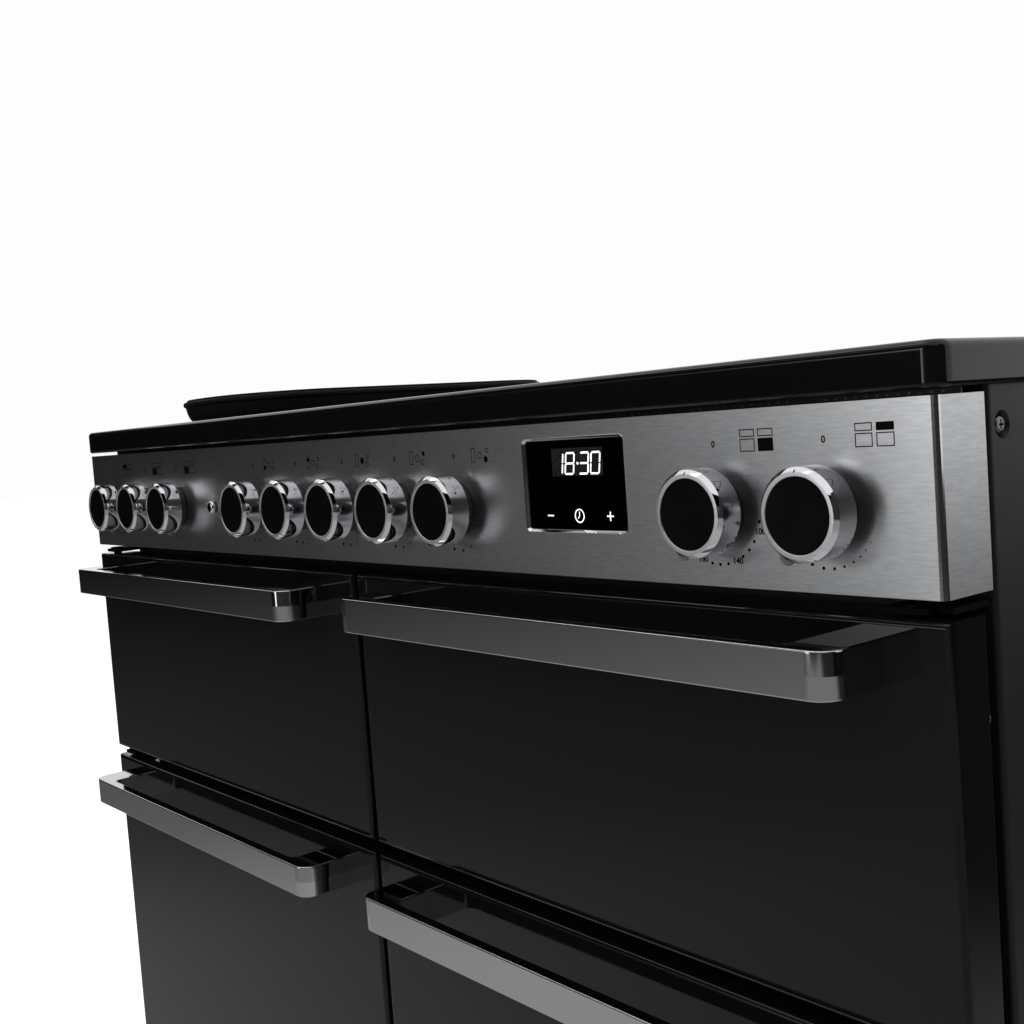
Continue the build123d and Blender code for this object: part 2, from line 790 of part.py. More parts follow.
def hob_surround():
    """Pressed frame of the hob: rounded skirt, ledge for the glass and the rear vent slots."""
    across = grown((-half_width, half_width), surround_overhang)
    length = (panel_face - surround_reach, hob_back)
    outside = block(across, length, (surround_bottom, hob_height))
    outside = fillet(outside.edges().filter_by(Axis.Z), surround_corner)
    outside = fillet(outside.faces().sort_by(Axis.Z)[-1].edges(), surround_top_round)
    outside = fillet(outside.faces().sort_by(Axis.Z)[0].edges(), surround_bottom_round)
    hollow = block(grown(across, -surround_wall), grown(length, -surround_wall), (surround_bottom, plate_underside))
    hollow = fillet(hollow.edges().filter_by(Axis.Z), surround_corner - surround_wall)
    surround = outside - hollow
    glass_x, glass_y = glass_spans()
    seat = hob_height - glass_thickness
    surround -= block(grown(glass_x, glass_clearance), grown(glass_y, glass_clearance), (seat, hob_height))
    surround -= block(grown(glass_x, -glass_ledge), grown(glass_y, -glass_ledge), (plate_underside, seat))
    vent_middle = hob_back - surround_rear_rim / 2
    first = -vent_slot_pitch * (vent_slot_count - 1) / 2
    for index in range(vent_slot_count):
        x = around(first + vent_slot_pitch * index, vent_slot_width)
        surround -= block(x, around(vent_middle, vent_slot_length), (plate_underside, hob_height))
    return surround


def glass_spans():
    """X and Y pairs of the hob glass."""
    across = half_width - surround_rim
    return (-across, across), (panel_face + surround_front_rim, hob_back - surround_rear_rim)


def hob_glass():
    """Ceramic glass, flush with the surround."""
    glass_x, glass_y = glass_spans()
    glass = block(glass_x, glass_y, (hob_height - glass_thickness, hob_height))
    return glass


def tray_spans():
    """X and Y pairs of the tray under the glass."""
    glass_x, glass_y = glass_spans()
    inner = grown(glass_x, -glass_ledge)
    return inner, (frame_back + tray_clearance, glass_y[1] - glass_ledge)


def hob_tray():
    """Sheet tray that hangs under the surround and carries the coils."""
    across, length = tray_spans()
    low = plate_underside - tray_depth
    tray = block(across, length, (low, plate_underside))
    tray -= block(grown(across, -tray_sheet), grown(length, -tray_sheet), (low + tray_sheet, plate_underside))
    flange = block(grown(across, tray_flange), grown(length, tray_flange), (plate_underside - tray_sheet, plate_underside))
    flange -= block(across, length, (plate_underside - tray_sheet, plate_underside))
    return tray + flange


def induction_modules():
    """Five induction coils on their posts, and the two power boards on the tray's floor."""
    across, length = tray_spans()
    floor = plate_underside - tray_depth + tray_sheet
    middle = sum(length) / 2
    coil_top = hob_height - glass_thickness - coil_gap
    zone_x = grown(across, -zone_side_inset)
    zone_y = grown(length, -zone_end_inset)
    zones = [(x, y, coil_radius) for x in zone_x for y in zone_y]
    zones.append((0, middle, coil_large_radius))
    pieces = []
    for x, y, radius in zones:
        coil = bar((x, y, coil_top - coil_height), (x, y, coil_top), radius)
        coil += bar((x, y, floor), (x, y, coil_top - coil_height), coil_post_radius)
        pieces.append(coil - bar((x, y, floor), (x, y, coil_top), coil_hole_radius))
    for x in (zone_x[0] / 2, zone_x[1] / 2):
        length_y = around(middle, board_length)
        pieces.append(block(around(x, board_width), length_y, (floor, floor + board_height)))
    return pieces


def griddle_section(rise, inset):
    """Rounded outline of the griddle at a height above the hob, inset from its rim."""
    x = glass_spans()[0][0] + griddle_inset + griddle_width / 2
    y = panel_face + griddle_setback + griddle_length / 2
    size = (griddle_width - 2 * inset, griddle_length - 2 * inset)
    return Plane((x, y, hob_height + rise)) * RectangleRounded(*size, griddle_corner - inset)


def griddle_plate():
    """Cast griddle with a curved wall, a bead round it and a rim above, lying on the left of the hob."""
    sections = [griddle_section(*pair) for pair in zip(griddle_wall_rises, griddle_wall_insets)]
    wall = loft(sections, ruled=True)
    bead = extrude(griddle_section(griddle_bead_rise, 0), griddle_bead_height)
    bead = fillet(bead.edges().group_by(Axis.Z)[-1], griddle_bead_round)
    bead = fillet(bead.edges().group_by(Axis.Z)[0], griddle_bead_round)
    rim = extrude(griddle_section(griddle_bead_rise, griddle_rim_inset), griddle_height - griddle_bead_rise)
    rim = fillet(rim.edges().group_by(Axis.Z)[-1], griddle_rim_round)
    floor = griddle_section(griddle_floor, griddle_floor_inset)
    mouth = griddle_section(griddle_height, griddle_mouth_inset)
    return wall + bead + rim - loft([floor, mouth])


def control_panel():
    """Folded steel panel with the openings for switches, lenses, button and display."""
    across = (-half_width, half_width)
    height = (panel_bottom, panel_top)
    return_back = panel_face + panel_return
    outside = block(across, (panel_face, return_back), height)
    front_corners = outside.edges().filter_by(Axis.Z).group_by(Axis.Y)[0]
    outside = chamfer(front_corners, panel_edge)
    inside_x = grown(across, -panel_sheet)
    panel = outside - block(inside_x, (panel_face + panel_sheet, return_back), grown(height, -panel_sheet))
    foot_x = grown(across, -flange_width - panel_sheet)
    panel += block(foot_x, (return_back - panel_sheet, frame_face), (panel_bottom, panel_bottom + panel_sheet))
    front_y = (panel_face, panel_face + panel_sheet)
    for x in list(knob_places.values()) + [button_place]:
        hole = switch_nose_radius + hole_clearance
        panel -= bar((x, front_y[0], knob_axis), (x, front_y[1], knob_axis), hole)
    for x, z in lens_places():
        panel -= bar((x, front_y[0], z), (x, front_y[1], z), lens_stem_radius + hole_clearance)
    opening = RectangleRounded(display_width, display_height, display_corner)
    display_plane = Plane((display_centre, panel_face, panel_top - display_drop), x_dir=(1, 0, 0), z_dir=(0, -1, 0))
    return panel - extrude(display_plane * opening, -panel_sheet)


def lens_places():
    """(x, z) of the indicator lenses beside the oven knobs."""
    return [(knob_places[name] - lens_across, knob_axis - lens_drop) for name in lens_knobs]


def indicator_lens(x, z):
    """Domed lens with the stem that clips into the control panel."""
    front = panel_face - lens_height
    lens = bar((x, panel_face, z), (x, front, z), lens_radius)
    lens = fillet(lens.edges().group_by(Axis.Y)[0], lens_height * 0.6)
    return lens + bar((x, panel_face, z), (x, panel_face + lens_stem_length, z), lens_stem_radius)


def display_unit():
    """Timer: bezel with sloping sides, black glass and the board behind."""
    z = panel_top - display_drop
    face = Plane((display_centre, panel_face, z), x_dir=(1, 0, 0), z_dir=(0, -1, 0))
    inner_size = (display_width - 2 * display_rim, display_height - 2 * display_rim)
    inner_corner = display_corner - display_rim
    outer = face * RectangleRounded(display_width, display_height, display_corner)
    glass_front = face.offset(-display_recess)
    bezel_depth = display_recess + display_glass
    bezel = extrude(outer, -bezel_depth)
    slope = loft([outer, glass_front * RectangleRounded(*inner_size, inner_corner)])
    bezel -= slope
    glass_outline = glass_front * RectangleRounded(*inner_size, inner_corner)
    bezel -= extrude(glass_outline, -display_glass)
    glass = extrude(glass_outline, -display_glass)
    board_y = (panel_face + bezel_depth, panel_face + bezel_depth + display_board_depth)
    board = block(around(display_centre, display_width), board_y, around(z, display_height))
    return [bezel, glass, board]


def switch_body(x):
    """Rotary switch behind the control panel, with its nose and its bore for the spindle."""
    back = panel_face + panel_sheet + switch_depth
    body = block(around(x, switch_width), (panel_face + panel_sheet, back), around(knob_axis, switch_width))
    nose_front = panel_face - switch_nose_length
    body += bar((x, panel_face + panel_sheet, knob_axis), (x, nose_front, knob_axis), switch_nose_radius)
    bore_end = panel_face + spindle_reach + pin_end_clearance
    return body - bar((x, nose_front, knob_axis), (x, bore_end, knob_axis), spindle_radius + running_clearance)


def button_switch():
    """Push switch behind the light button."""
    front = panel_face + panel_sheet
    body = block(around(button_place, switch_width / 2), (front, front + switch_depth), around(knob_axis, switch_width / 2))
    body += bar((button_place, front, knob_axis), (button_place, panel_face, knob_axis), switch_nose_radius)
    bore = button_stem_radius + sliding_clearance
    bore_end = front + switch_depth
    return body - bar((button_place, panel_face, knob_axis), (button_place, bore_end, knob_axis), bore)


def light_button():
    """Domed push button on its stem."""
    front = panel_face - button_front
    cap_back = front + button_thickness
    cap = bar((button_place, cap_back, knob_axis), (button_place, front, knob_axis), button_radius)
    cap = fillet(cap.edges().group_by(Axis.Y)[0], button_thickness * 0.7)
    stem_end = cap_back + button_stem_length
    return cap + bar((button_place, cap_back, knob_axis), (button_place, stem_end, knob_axis), button_stem_radius)


def knob(x):
    """Chrome knob body with its notch, the black face set into it, the dark skirt and the spindle."""
    front = panel_face - knob_front
    back = panel_face - knob_gap
    face_seat = front + knob_face_recess + knob_face_sheet
    shell = bar((x, back, knob_axis), (x, front, knob_axis), knob_radius)
    shell = chamfer(shell.edges().group_by(Axis.Y)[0], knob_bevel)
    shell -= bar((x, front, knob_axis), (x, face_seat, knob_axis), knob_face_radius)
    shell -= bar((x, back, knob_axis), (x, back - knob_socket_depth, knob_axis), spindle_radius)
    shell -= bar((x, back, knob_axis), (x, back - switch_nose_length, knob_axis), knob_socket_radius)
    notch_z = grown((knob_axis + knob_face_radius, knob_axis + knob_radius), knob_notch_width)
    shell -= block(around(x, knob_notch_width), (front, front + knob_notch_depth), notch_z)
    face = bar((x, face_seat, knob_axis), (x, face_seat - knob_face_sheet, knob_axis), knob_face_radius)
    skirt_end = panel_face - knob_skirt_clearance
    skirt = bar((x, back, knob_axis), (x, skirt_end, knob_axis), knob_skirt_radius)
    skirt -= bar((x, back, knob_axis), (x, skirt_end, knob_axis), knob_socket_radius)
    spindle_start = (x, back - knob_socket_depth, knob_axis)
    spindle = bar(spindle_start, (x, panel_face + spindle_reach, knob_axis), spindle_radius)
    return [shell, face, skirt, spindle]


def terminal_box():
    """Mains terminal box on the rear panel, with the cable gland in its underside."""
    terminal_x = terminal_inset - half_width
    across = around(terminal_x, terminal_width)
    depth = (rear_face, rear_face + terminal_depth)
    height = (terminal_rise, terminal_rise + terminal_height)
    box = block(across, depth, height)
    box -= block(grown(across, -terminal_wall), grown(depth, -terminal_wall), grown(height, -terminal_wall))
    y = sum(depth) / 2
    gland_end = terminal_rise - gland_length
    box += bar((terminal_x, y, terminal_rise), (terminal_x, y, gland_end), gland_radius)
    gland_top = terminal_rise + terminal_wall
    return box - bar((terminal_x, y, gland_top), (terminal_x, y, gland_end), gland_bore_radius)


def write_doors():
    """The four doors: outer panel, inner liner and handle of each."""
    for level, height, cavity in (("upper", upper_door, upper_cavity), ("lower", lower_door, lower_cavity)):
        pieces = {
            "door_panel": door_panel(height),
            "door_liner": door_liner(height, cavity),
            "door_handle": door_handle(height[1]),
        }
        for name, piece in pieces.items():
            write(f"{name}_{level}_right", piece)
            write(f"{name}_{level}_left", left(piece))


def write_ovens():
    """The four cavities with what is fixed or slides in them."""
    for level, cavity in (("upper", upper_cavity), ("lower", lower_cavity)):
        liner = oven_liner(cavity, level == "lower")
        write(f"oven_liner_{level}_right", liner)
        write(f"oven_liner_{level}_left", left(liner))
    both = (upper_cavity, lower_cavity)
    jackets = [oven_jacket(cavity) for cavity in both]
    write("oven_insulation", *jackets, *[left(one) for one in jackets])
    seals = [door_seal(cavity) for cavity in both]
    write("door_seals", *seals, *[left(one) for one in seals])
    elements = [grill_element(upper_cavity), ring_element(lower_cavity)]
    write("heating_elements", *elements, *[left(one) for one in elements])
    fan = oven_fan(lower_cavity)
    write("oven_fan_right", fan)
    write("oven_fan_left", left(fan))
    for name, piece in (("fan_motors", fan_motor(lower_cavity)), ("fan_baffles", fan_baffle(lower_cavity))):
        write(name, piece, left(piece))
    lower_racks = shelf_rack_pair(lower_cavity)
    upper_racks = shelf_rack_pair(upper_cavity)
    write("shelf_racks", *lower_racks, *[left(one) for one in lower_racks], *upper_racks)
    shelf = wire_shelf(lower_cavity)
    write("oven_shelf_right", shelf)
    write("oven_shelf_left", left(shelf))
    write("warming_shelf", wire_shelf(upper_cavity))
    write("grill_pan", *[left(piece) for piece in grill_pan(upper_cavity)])


def write_cabinet():
    """Casing, feet, hinges and the mains box."""
    panel = side_panel()
    write("side_panels", panel, left(panel))
    write("rear_panel", rear_panel())
    write("base_pan", base_pan())
    write("plinth_panel", plinth_panel())
    write("front_frame", front_frame())
    write("panel_screws", *panel_screws())
    hinges = hinge_set()
    write("hinge_brackets", *hinges, *[left(piece) for piece in hinges])
    for name, place in foot_places().items():
        write(name, levelling_foot(*place))
    write("terminal_box", terminal_box())


def write_hob():
    """Hob and the griddle plate on it."""
    write("hob_surround", hob_surround())
    write("hob_glass", hob_glass())
    write("hob_tray", hob_tray())
    write("induction_modules", *induction_modules())
    write("griddle_plate", griddle_plate())


def write_controls():
    """Control panel and what is mounted in it."""
    write("control_panel", control_panel())
    write("display_unit", *display_unit())
    write("indicator_lenses", *[indicator_lens(x, z) for x, z in lens_places()])
    switches = [switch_body(x) for x in knob_places.values()]
    write("control_switches", *switches, button_switch())
    write("light_button", light_button())
    for name, x in knob_places.items():
        write(name, *knob(x))


os.makedirs("parts", exist_ok=True)
write_cabinet()
write_doors()
write_ovens()
write_hob()
write_controls()
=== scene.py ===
# %% [markdown]
# # Dressing an induction range cooker
# The solids of this cooker come from CAD as one frame of named nodes that ride on moving bodies.
# This lesson gives them their looks: brushed steel, gloss enamel, chrome knobs, print and a glass
# display. First the frame is loaded.

# %% Load the frame
import math

import bmesh
import bpy
from mathutils import Matrix, Vector


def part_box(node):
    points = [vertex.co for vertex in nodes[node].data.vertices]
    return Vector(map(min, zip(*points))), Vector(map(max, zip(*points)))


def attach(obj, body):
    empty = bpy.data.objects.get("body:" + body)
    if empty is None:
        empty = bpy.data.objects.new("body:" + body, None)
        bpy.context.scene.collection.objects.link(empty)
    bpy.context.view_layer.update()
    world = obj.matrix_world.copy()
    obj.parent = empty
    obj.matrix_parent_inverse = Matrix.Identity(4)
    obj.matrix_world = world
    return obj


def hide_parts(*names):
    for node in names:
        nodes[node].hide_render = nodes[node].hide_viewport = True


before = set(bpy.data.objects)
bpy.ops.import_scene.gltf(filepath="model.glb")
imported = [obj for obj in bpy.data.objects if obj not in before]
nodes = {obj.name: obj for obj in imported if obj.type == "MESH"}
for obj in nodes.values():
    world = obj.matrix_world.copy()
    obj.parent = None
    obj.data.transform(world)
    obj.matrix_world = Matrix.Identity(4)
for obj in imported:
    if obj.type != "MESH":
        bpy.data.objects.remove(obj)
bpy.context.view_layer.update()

# %% [markdown]
# ## The camera
# The picture was taken from the right of the cooker, level with its control panel, with a
# moderately wide lens: the front runs away to the left and the right end is just seen. The camera
# is given by its place and its three axes, so that no aim constraint is needed.

# %% Camera
CAMERA_PLACE = (0.8099, -0.78545, 0.8797)
LENS, SENSOR = 44.46, 36.0


def into_scene(name, data):
    thing = bpy.data.objects.new(name, data)
    bpy.context.scene.collection.objects.link(thing)
    return thing


camera_data = bpy.data.cameras.new("camera")
camera_data.sensor_width = SENSOR
camera_data.lens = LENS
camera_data.clip_start = 0.01
camera_data.clip_end = 100.0
camera = into_scene("camera", camera_data)
right = Vector((0.634, 0.770, -0.0723)).normalized()
ahead = Vector((-0.7733, 0.6304, -0.0673)).normalized()
up = right.cross(ahead).normalized()
right = ahead.cross(up).normalized()
turn = Matrix((right, up, -ahead)).transposed().to_4x4()
camera.matrix_world = Matrix.Translation(CAMERA_PLACE) @ turn
bpy.context.scene.camera = camera
bpy.context.scene.view_settings.view_transform = "Standard"
print("camera at", CAMERA_PLACE)

# %% [markdown]
# ## Helpers for shader nodes
# A material is a small network of nodes. Two steps come back all the time: joining two sockets, and
# a sum, product or the like of values. Each gets a short function, so that a network reads like a
# formula. A value may be a number or the output of another node.

# %% Node helpers
def link(tree, source, target):
    tree.links.new(source, target)


def compute(tree, operation, *values):
    step = tree.nodes.new("ShaderNodeMath")
    step.operation = operation
    for value, socket in zip(values, step.inputs):
        if isinstance(value, (int, float)):
            socket.default_value = value
        else:
            link(tree, value, socket)
    return step.outputs[0]


print("nodes can be joined")

# %% [markdown]
# ## The studio
# The cooker stands in a white room. The world is white for what the camera sees and for what metal
# and glass mirror, and a softer grey for the light that falls on the object. The Light Path node
# tells these rays apart.

# %% World
WORLD_WHITE, WORLD_LIGHT = 0.985, 0.35


def seen_directly(tree):
    path = tree.nodes.new("ShaderNodeLightPath")
    seen = compute(tree, "MAXIMUM", path.outputs["Is Camera Ray"], path.outputs["Is Glossy Ray"])
    return compute(tree, "MAXIMUM", seen, path.outputs["Is Transmission Ray"])


world = bpy.data.worlds.new("studio")
bpy.context.scene.world = world
world.use_nodes = True
tree = world.node_tree
tree.nodes.clear()
white = tree.nodes.new("ShaderNodeBackground")
white.inputs["Color"].default_value = (WORLD_WHITE, WORLD_WHITE, WORLD_WHITE, 1)
white.inputs["Strength"].default_value = 1.0
grey = tree.nodes.new("ShaderNodeBackground")
grey.inputs["Color"].default_value = (1, 1, 1, 1)
grey.inputs["Strength"].default_value = WORLD_LIGHT
mix = tree.nodes.new("ShaderNodeMixShader")
out = tree.nodes.new("ShaderNodeOutputWorld")
link(tree, seen_directly(tree), mix.inputs["Fac"])
link(tree, grey.outputs[0], mix.inputs[1])
link(tree, white.outputs[0], mix.inputs[2])
link(tree, mix.outputs[0], out.inputs["Surface"])
print("world is white to look at and", WORLD_LIGHT, "as light")

# %% [markdown]
# The next networks depend on the place of a point. The Texture Coordinate node gives that place,
# its length is the distance from the origin, and a ramp turns one range of values into another.

# %% Place helpers
def ramp(tree, value, start, end, low, high, kind="SMOOTHSTEP"):
    step = tree.nodes.new("ShaderNodeMapRange")
    step.interpolation_type = kind
    labels = ("From Min", "From Max", "To Min", "To Max")
    for label, number in zip(labels, (start, end, low, high)):
        step.inputs[label].default_value = number
    link(tree, value, step.inputs["Value"])
    return step.outputs["Result"]


def object_place(tree):
    return tree.nodes.new("ShaderNodeTexCoord").outputs["Object"]


def distance(tree, place):
    length = tree.nodes.new("ShaderNodeVectorMath")
    length.operation = "LENGTH"
    link(tree, place, length.inputs[0])
    return length.outputs["Value"]


print("places can be ramped")

# %% [markdown]
# The floor is pale and matt. Where it is seen it glows as well, so that it meets the white
# background without an edge. The glow is weaker near the cooker, so that the floor keeps its
# shadow.

# %% Floor
GLOW_NEAR, GLOW_FAR = 0.4, 0.75
GLOW_START, GLOW_END = 0.7, 1.9


def level(x0, y0, x1, y1, z):
    return [(x0, y0, z), (x1, y0, z), (x1, y1, z), (x0, y1, z)]


def stage_sheet(name, corners, material):
    mesh = bpy.data.meshes.new(name)
    mesh.from_pydata(corners, [], [tuple(range(len(corners)))])
    mesh.materials.append(material)
    sheet = into_scene(name, mesh)
    return sheet


floor_look = bpy.data.materials.new("studio_floor")
floor_look.use_nodes = True
tree = floor_look.node_tree
shader = tree.nodes["Principled BSDF"]
shader.inputs["Base Color"].default_value = (0.82, 0.82, 0.82, 1)
shader.inputs["Roughness"].default_value = 0.9
shader.inputs["Specular IOR Level"].default_value = 0.0
shader.inputs["Emission Color"].default_value = (1, 1, 1, 1)
away = distance(tree, object_place(tree))
fade = ramp(tree, away, GLOW_START, GLOW_END, GLOW_NEAR, GLOW_FAR, "LINEAR")
glow = compute(tree, "MULTIPLY", seen_directly(tree), fade)
link(tree, glow, shader.inputs["Emission Strength"])
stage_sheet("floor", level(-30, -30, 30, 30, 0), floor_look)
print("floor glows from", GLOW_NEAR, "near to", GLOW_FAR, "far")

# %% [markdown]
# Three soft lamps give the cooker form: one in front, one above and one behind on the right. They
# are hidden from mirrored rays, because their bright rectangles would show in the gloss.

# %% Lamps
def soft_lamp(name, place, aim, width, height, watts):
    data = bpy.data.lights.new(name, "AREA")
    data.shape = "RECTANGLE"
    data.size = width
    data.size_y = height
    data.energy = watts
    lamp = into_scene(name, data)
    lamp.location = place
    towards = Vector(aim) - Vector(place)
    lamp.rotation_euler = towards.to_track_quat("-Z", "Y").to_euler()
    lamp.visible_glossy = False


soft_lamp("key", (0.2, -3.0, 2.6), (0.0, 0.0, 0.6), 2.4, 1.6, 60)
soft_lamp("overhead", (0.3, 0.1, 3.2), (0.1, 0.0, 0.9), 2.2, 1.6, 45)
soft_lamp("right_rear", (3.0, 2.0, 2.0), (0.4, 0.0, 0.7), 1.6, 1.8, 50)
print(len(bpy.data.lights), "lamps stand")

# %% [markdown]
# ## Flags
# Black gloss and metal look like what stands round them. In a white room they would turn milky, so
# a studio hangs dark cloths, called flags, where the object should mirror something dark, and
# leaves bright places in them where it should shine. Only mirrored rays meet these flags: the
# camera and the light pass through. How bright a flag is depends on the place on it. The ramps are
# listed as start, end, value at the start and value at the end, and a growth as a place, a rate and
# the value at that place.

# %% Flag helpers
def upright(x0, y0, x1, y1, low, high):
    return [(x0, y0, low), (x1, y1, low), (x1, y1, high), (x0, y0, high)]


def parts_of(tree, place):
    split = tree.nodes.new("ShaderNodeSeparateXYZ")
    link(tree, place, split.inputs["Vector"])
    return split.outputs["X"], split.outputs["Y"], split.outputs["Z"]


def flag_look(name, brightness):
    look = bpy.data.materials.new(name)
    look.use_nodes = True
    tree = look.node_tree
    tree.nodes.clear()
    glow = tree.nodes.new("ShaderNodeEmission")
    out = tree.nodes.new("ShaderNodeOutputMaterial")
    link(tree, brightness(tree, object_place(tree)), glow.inputs["Strength"])
    link(tree, glow.outputs[0], out.inputs["Surface"])
    return look


def hang_flag(name, corners, brightness):
    flag = stage_sheet(name, corners, flag_look(name, brightness))
    flag.visible_camera = False
    flag.visible_diffuse = False
    flag.visible_transmission = False
    flag.visible_shadow = False
    print(name, "hangs")


def growing(tree, value, middle, rate, strength):
    power = compute(tree, "MULTIPLY_ADD", value, rate, math.log(strength) - rate * middle)
    return compute(tree, "EXPONENT", power)


print("flag helpers are ready")

# %% [markdown]
# The flag on the floor is what the doors mirror. It is lightest round the cooker, grows slowly
# lighter towards the right, and turns dark far to the right and behind the cooker.

# %% Floor flag
FLAG_LEFT, FLAG_RIGHT, FLAG_FRONT = -24.0, 8.0, -6.0
FLOOR_FRONT, FLOOR_BACK, FLOOR_LIFT = -14, 12, 0.002
FLOOR_GROWTH, FLOOR_PEAK = (-1.3, 0.38, 0.22), 0.28
ROUND_COOKER = (1.3, 2.3, 0.16, 0.0)
TO_THE_RIGHT, TO_THE_BACK = (3.0, 4.5, 1.0, 0.1), (0.6, 1.8, 1.0, 0.1)
BACK_SLANT = 0.3


def floor_brightness(tree, place):
    x, y, _ = parts_of(tree, place)
    near = ramp(tree, distance(tree, place), *ROUND_COOKER)
    wide = compute(tree, "MINIMUM", growing(tree, x, *FLOOR_GROWTH), FLOOR_PEAK)
    bright = compute(tree, "ADD", near, wide)
    bright = compute(tree, "MULTIPLY", bright, ramp(tree, x, *TO_THE_RIGHT))
    behind = compute(tree, "ADD", compute(tree, "MULTIPLY", x, BACK_SLANT), y)
    return compute(tree, "MULTIPLY", bright, ramp(tree, behind, *TO_THE_BACK))


floor_corners = level(FLAG_LEFT, FLOOR_FRONT, FLAG_RIGHT, FLOOR_BACK, FLOOR_LIFT)
hang_flag("floor_flag", floor_corners, floor_brightness)

# %% [markdown]
# The front flag carries a bright strip at about twice the height of the cooker. The strip grows
# towards the right and then ends, so the steel of the control panel, which mirrors it, runs from
# dark at the far end to light at the near end. A patch below its right end reaches the floor.

# %% Front flag
FRONT_TOP = 7
STEEP_GROWTH, GENTLE_GROWTH, STRIP_PEAK = (-3.77, 0.9, 1.6), (-6.75, 0.3, 0.07), 5.0
STRIP_END = (-2.0, -0.9, 1.0, 0.015)
STRIP_BOTTOM, STRIP_TOP = (1.1, 1.8, 0.01, 1.0), (2.2, 3.2, 1.0, 0.01)
PATCH_ACROSS, PATCH_UP = (-3.0, -2.2, 0.01, 0.7), (0.0, 0.7, 0.3, 1.0)


def front_brightness(tree, place):
    x, _, z = parts_of(tree, place)
    steep = growing(tree, x, *STEEP_GROWTH)
    gentle = growing(tree, x, *GENTLE_GROWTH)
    rise = compute(tree, "MINIMUM", compute(tree, "ADD", steep, gentle), STRIP_PEAK)
    across = compute(tree, "MULTIPLY", rise, ramp(tree, x, *STRIP_END))
    patch = compute(tree, "MULTIPLY", ramp(tree, x, *PATCH_ACROSS), ramp(tree, z, *PATCH_UP))
    foot = compute(tree, "MAXIMUM", ramp(tree, z, *STRIP_BOTTOM), patch)
    upward = compute(tree, "MULTIPLY", foot, ramp(tree, z, *STRIP_TOP))
    return compute(tree, "MULTIPLY", across, upward)


front_corners = upright(FLAG_LEFT, FLAG_FRONT, FLAG_RIGHT, FLAG_FRONT, 0, FRONT_TOP)
hang_flag("front_flag", front_corners, front_brightness)

# %% [markdown]
# Above the front flag hangs a high one that is dark except at its right edge and its top. Two plain
# dark ones close the left and the right.

# %% High flag and side flags
HIGH_RIGHT, HIGH_TOP = -4.5, 30
HIGH_EDGE, HIGH_CROWN = (-9.0, HIGH_RIGHT, 0.02, 1.0), (17.0, 20.0, 0.02, 4.0)
LEFT_BACK, LEFT_TOP = 3, 11
RIGHT_BACK, RIGHT_TOP = 1.5, 8
SIDE_SHADE = (0.0, 20.0, 0.03, 0.06)


def high_brightness(tree, place):
    x, _, z = parts_of(tree, place)
    return compute(tree, "MAXIMUM", ramp(tree, x, *HIGH_EDGE), ramp(tree, z, *HIGH_CROWN))


def dark_brightness(tree, place):
    _, _, z = parts_of(tree, place)
    return ramp(tree, z, *SIDE_SHADE)


high_corners = upright(FLAG_LEFT, FLAG_FRONT, HIGH_RIGHT, FLAG_FRONT, FRONT_TOP, HIGH_TOP)
hang_flag("upper_flag", high_corners, high_brightness)
left_corners = upright(FLAG_LEFT, FLAG_FRONT, FLAG_LEFT, LEFT_BACK, 0, LEFT_TOP)
hang_flag("left_flag", left_corners, dark_brightness)
right_corners = upright(FLAG_RIGHT, FLAG_FRONT, FLAG_RIGHT, RIGHT_BACK, 0, RIGHT_TOP)
hang_flag("right_flag", right_corners, dark_brightness)

# %% [markdown]
# ## Finishes
# Each finish is a Principled shader with a little procedural change in it, because no real surface
# is one flat colour. The change comes from noise in object coordinates, so it needs no unwrapping.

# %% Finish and noise
def finish(name, color, metallic=0.0, roughness=0.5, specular=0.5):
    look = bpy.data.materials.new(name)
    look.use_nodes = True
    shader = look.node_tree.nodes["Principled BSDF"]
    shader.inputs["Base Color"].default_value = (*color, 1)
    shader.inputs["Metallic"].default_value = metallic
    shader.inputs["Roughness"].default_value = roughness
    shader.inputs["Specular IOR Level"].default_value = specular
    return look


def noise(look, scale, stretch=(1, 1, 1), detail=2.0):
    tree = look.node_tree
    mapping = tree.nodes.new("ShaderNodeMapping")
    mapping.inputs["Scale"].default_value = stretch
    grain = tree.nodes.new("ShaderNodeTexNoise")
    grain.inputs["Scale"].default_value = scale
    grain.inputs["Detail"].default_value = detail
    link(tree, object_place(tree), mapping.inputs["Vector"])
    link(tree, mapping.outputs["Vector"], grain.inputs["Vector"])
    return grain.outputs["Fac"]


print("finishes can be mixed")

# %% [markdown]
# The noise is put to use in three ways: it changes the roughness, changes the colour or raises a
# fine bump. Noise seldom leaves the middle of its range, so only that middle is spread out.

# %% Uses of the noise
NOISE_LOW, NOISE_HIGH = 0.3, 0.7


def vary(look, factor, low, high):
    tree = look.node_tree
    ranged = ramp(tree, factor, NOISE_LOW, NOISE_HIGH, low, high, "LINEAR")
    link(tree, ranged, tree.nodes["Principled BSDF"].inputs["Roughness"])


def uneven(name, color, low, high, scale, metallic=0.0, specular=0.5):
    look = finish(name, color, metallic, (low + high) / 2, specular)
    vary(look, noise(look, scale), low, high)
    return look


def tint(look, factor, dark, light):
    tree = look.node_tree
    colors = tree.nodes.new("ShaderNodeValToRGB")
    ends = colors.color_ramp.elements
    ends[0].position, ends[1].position = NOISE_LOW, NOISE_HIGH
    ends[0].color, ends[1].color = (*dark, 1), (*light, 1)
    link(tree, factor, colors.inputs["Fac"])
    link(tree, colors.outputs["Color"], tree.nodes["Principled BSDF"].inputs["Base Color"])


